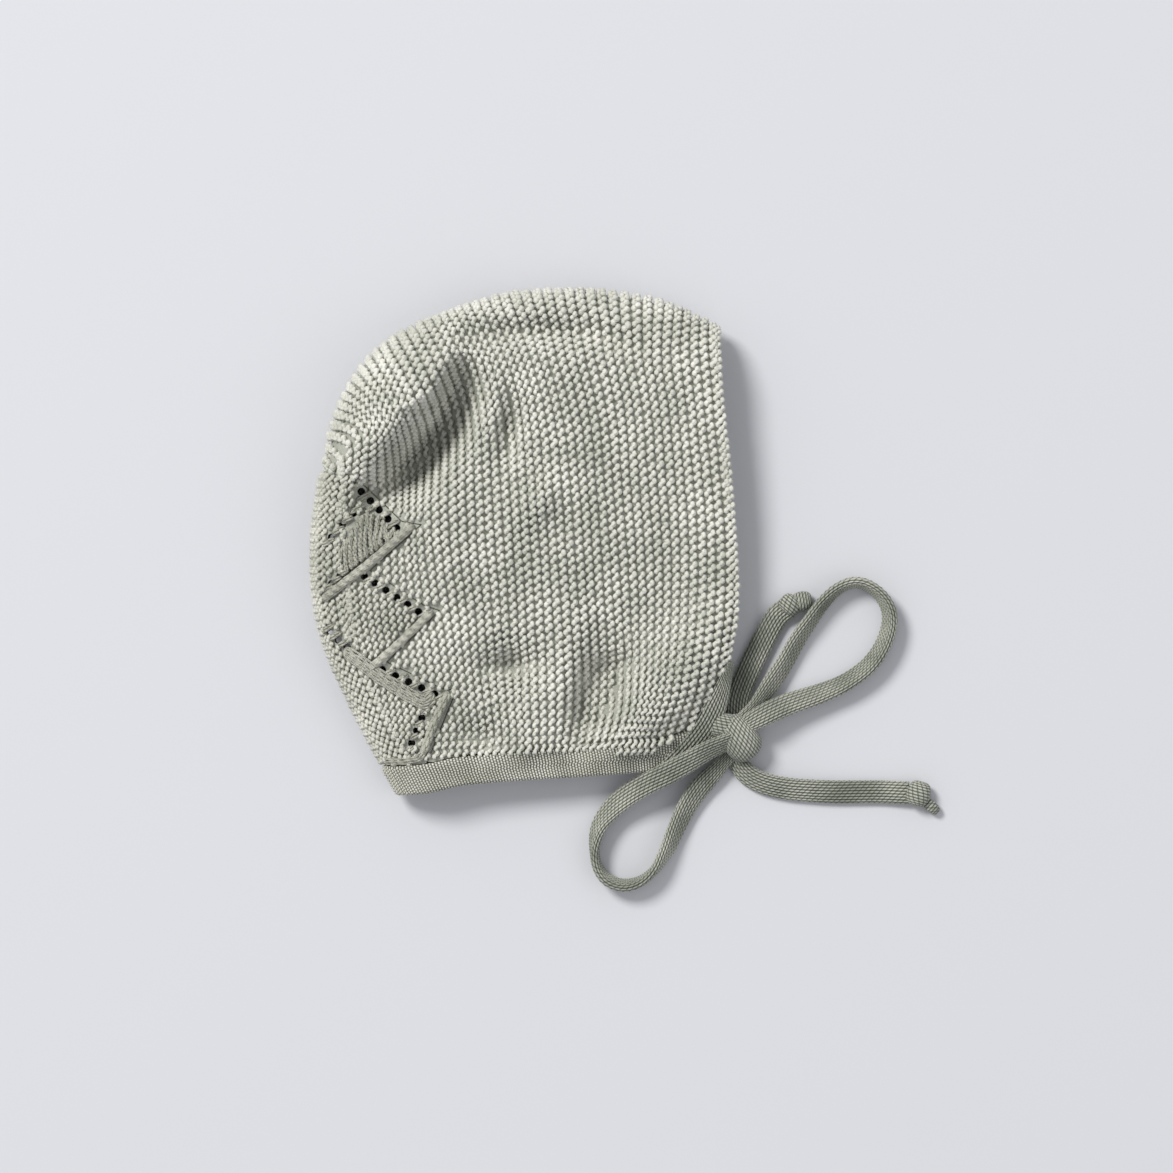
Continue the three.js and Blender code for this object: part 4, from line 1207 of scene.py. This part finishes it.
def make_lace():
    """The lace panel: a lining drilled at the eyelets, small garter rows, long strands and raised bars."""
    base = shell("lace_lining")
    carve(base, prism("keep", lace_area()), "INTERSECT")
    turn = np.linspace(0, 2 * math.pi, 13)[:-1]
    circle = np.column_stack([np.cos(turn), np.sin(turn)]) * EYELET_DIAMETER / 2
    runs = list(runs_of_eyelets())
    drills = [prism("drill", circle + hole) for run in runs for hole in run]
    carve(base, join("drills", drills), "DIFFERENCE")
    bars = [(*shares_to_mm([start, end]), wide) for start, end, wide in LACE_BARS]
    panel = lace_plan(-0.3)
    rows = Strands(5)

    def clear(centre, side):
        x, y = centre[:, 0], centre[:, 1]
        free = within(x, y, panel) & (y > neck_height(x) + BAND_HEIGHT + 0.4) & ~within(x, y, LEAF)
        for run in runs:
            for hole in run:
                free &= np.hypot(x - hole[0], y - hole[1]) > 2.0
        for start, end, wide in bars:
            free &= distance_to(x, y, start, end) > 1.2
        for start, end in zip(SWEPT_STRANDS[:-1], SWEPT_STRANDS[1:]):
            free &= distance_to(x, y, start, end) > 2.0
        return free

    def off_the_edge(centre, side):
        inside, _, _ = from_edge(centre[:, 0], centre[:, 1])
        return clear(centre, side) & (inside > 8.5)

    def one_group(centre, side):
        return [rows] * len(centre)

    for number in np.arange(28, 48.01, 0.92):
        knit_row(row_on_skin(number), LACE_STITCH, one_group, off_the_edge, ROW_SUNK)
    back = np.flatnonzero((EDGE_LINE[:, 0] < -0.25 * HOOD_DEPTH) & (EDGE_LINE[:, 1] < 0.2 * HOOD_HEIGHT)
                          & (EDGE_LINE[:, 1] > -0.5 * HOOD_HEIGHT))
    for laid in edge_rows(back[0], back[-1]):
        knit_row(laid, LACE_STITCH, one_group, clear, ROW_SUNK)
    lace = rows.build("lace_rows", LACE_YARN)

    strands = Strands(6)
    slant = np.array([math.cos(math.radians(31)), math.sin(math.radians(31))])
    for under in (False, True):
        for number, run in enumerate(runs):
            gap = run[1] - run[0]
            reach = 1.7 if number in (2, 6) else 2.5
            for middle in np.vstack([run - gap / 2, run[-1:] + gap / 2]):
                plan = [middle - slant * reach, middle, middle + slant * reach]
                laid_strands(strands, plan, 2, 0.85, 0.44, -0.5, under, crown=0.3, tuck=0.8)
        for x in np.linspace(-61.6, -43.0, 12):
            high = np.interp(x, (-62.6, -53.4, -40.4), (-2.4, 12.4, 3.0))
            low = np.interp(x, (-62.6, -60.4, -40.4), (-2.4, -11.6, 3.0))
            if high - low < 3.5:
                continue
            bend = RANDOM.normal(0, 0.35)
            plan = [(x + 0.8, high - 0.6), (x + 0.3 + bend, (2 * high + low) / 3),
                    (x - bend, (high + 2 * low) / 3), (x + 0.6, low + 0.8)]
            laid_strands(strands, plan, 2, 0.95, 0.56, -0.5, under, twist=3.4, tuck=1.0)
        laid_strands(strands, SWEPT_STRANDS, 6, 3.9, 0.46, -0.1, under, crown=0.55, wave=0.12)
        laid_strands(strands, LOW_STRANDS, 3, 1.5, 0.46, -0.2, under, crown=0.3, wave=0.1)
    fringe = strands.build("lace_strands", BAR_YARN)

    ropes = Strands(8)
    for under in (False, True):
        for start, end, wide in bars[:2]:
            middle = (start + end) / 2 + (0.3, -0.3)
            laid_strands(ropes, [start, middle, end], 5, wide - 0.9, 0.5, 0.25, under, crown=0.62, tuck=1.8,
                         wave=0.06)
        start, end, wide = bars[2]
        middle = (start + end) / 2 + (-0.5, 0)
        laid_strands(ropes, [start, middle, end], 3, 1.5, 0.78, 0.5, under, twist=11.0, tuck=1.8)
    bar_ropes = ropes.build("lace_bars", BAR_YARN)
    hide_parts("lace_back")
    for piece in (base, lace, fringe, bar_ropes):
        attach(piece, "root")


# The neck band's columns on each layer, its lanes' spacing and its loops' sizes
PER_LAYER = 360
LANE_STEP = 0.5
BAND_COLUMN = 1.0
BAND_ROW = 0.9


def make_band():
    """The neck band: one fine knitted strip, folded round the nape, its loops standing in close columns."""
    heights = np.arange(-LANE_STEP, BAND_HEIGHT + LANE_STEP + 0.01, LANE_STEP)
    lanes = []
    for height in heights:
        line = NECK_LINE[::-1] + (0, height)
        line = line[line[:, 0] < face_depth(line[:, 1])]
        line = curve(line[::6], 500)
        plan = picked(line, round_the_fold(line))
        layers = []
        for under in (False, True):
            points, normals = skin(plan[:, 0], plan[:, 1], under)
            run = lengths_along(points)
            layers.append(read_at(np.linspace(0, run[-1], PER_LAYER), run, np.hstack([points, normals])))
        lanes.append(np.vstack([layers[0], layers[1][::-1][1:]]))
    lanes = np.array(lanes)
    across, depth = band_section()
    at = (across - heights[0]) / LANE_STEP
    low = np.clip(at.astype(int), 0, len(heights) - 2)
    share = (at - low)[:, None, None]
    grid = lanes[low] * (1 - share) + lanes[low + 1] * share
    points, normals = grid[..., :3], unit(grid[..., 3:])
    columns = lengths_along(lanes[len(lanes) // 2][:, :3]) / BAND_COLUMN
    outer = np.clip(1 - (depth - 0.2) / 1.6, 0, 1)
    rows = across / BAND_ROW
    lump = (0.5 + 0.5 * np.cos(2 * math.pi * columns))[None, :] ** 0.8 \
        * (0.45 + 0.55 * (0.5 + 0.5 * np.cos(2 * math.pi * rows))[:, None])
    relief = (lump - 0.6) * outer[:, None]
    points = points + normals * (relief - depth[:, None])[..., None]
    points[..., 2] = np.maximum(points[..., 2], LEAST_Z)
    band = tube("neck_binding", points.transpose(1, 0, 2), loop_map(rows, columns[:, None]), BAND_YARN,
                turned=True)
    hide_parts("neck_band")
    for piece in (band, chin_binding()):
        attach(piece, "root")


def chin_binding():
    """The binding round the chin corner: a strip laid on the hood beside the ends of its rows."""
    plan = np.array(CHIN_COURSE)
    points, normals = skin(plan[:, 0], plan[:, 1], False)
    ahead = np.gradient(plan, axis=0)
    left = unit(np.column_stack([-ahead[:, 1], ahead[:, 0]]))
    lean = (normals[:, :2] * left).sum(axis=1)
    turns = np.degrees(np.arctan2(lean, normals[:, 2]))

    def taper(at, whole):
        return 1 - 0.7 * np.clip((at - whole + 16) / 16, 0, 1)

    # The strip takes the ties' darker yarn rather than the band's: painted shade for the shadowed chin
    # corner
    piece, _ = tape("chin_binding", np.column_stack([points - normals * 0.4, turns]), 8.6, 2.8, taper)
    return piece


def band_section():
    """The strip's closed section: heights above the neck edge, and depths under the hood's skin."""
    outside = np.arange(1.2, 8.9, 0.3)
    top_turn = np.radians(np.linspace(75, -75, 7))
    inside = np.linspace(8.8, 1.2, 6)
    low_turn = np.radians(np.linspace(-75, 75, 9))
    middle = 1.25
    across = np.concatenate([outside, 8.9 + 1.0 * np.cos(top_turn), inside, 1.2 - 1.3 * np.cos(low_turn)])
    depth = np.concatenate([np.full(len(outside), -0.35), middle - 1.6 * np.sin(top_turn),
                            np.full(len(inside), 2.85), middle - 1.6 * np.sin(low_turn)])
    return across, depth


make_hood()
make_lace()
make_band()
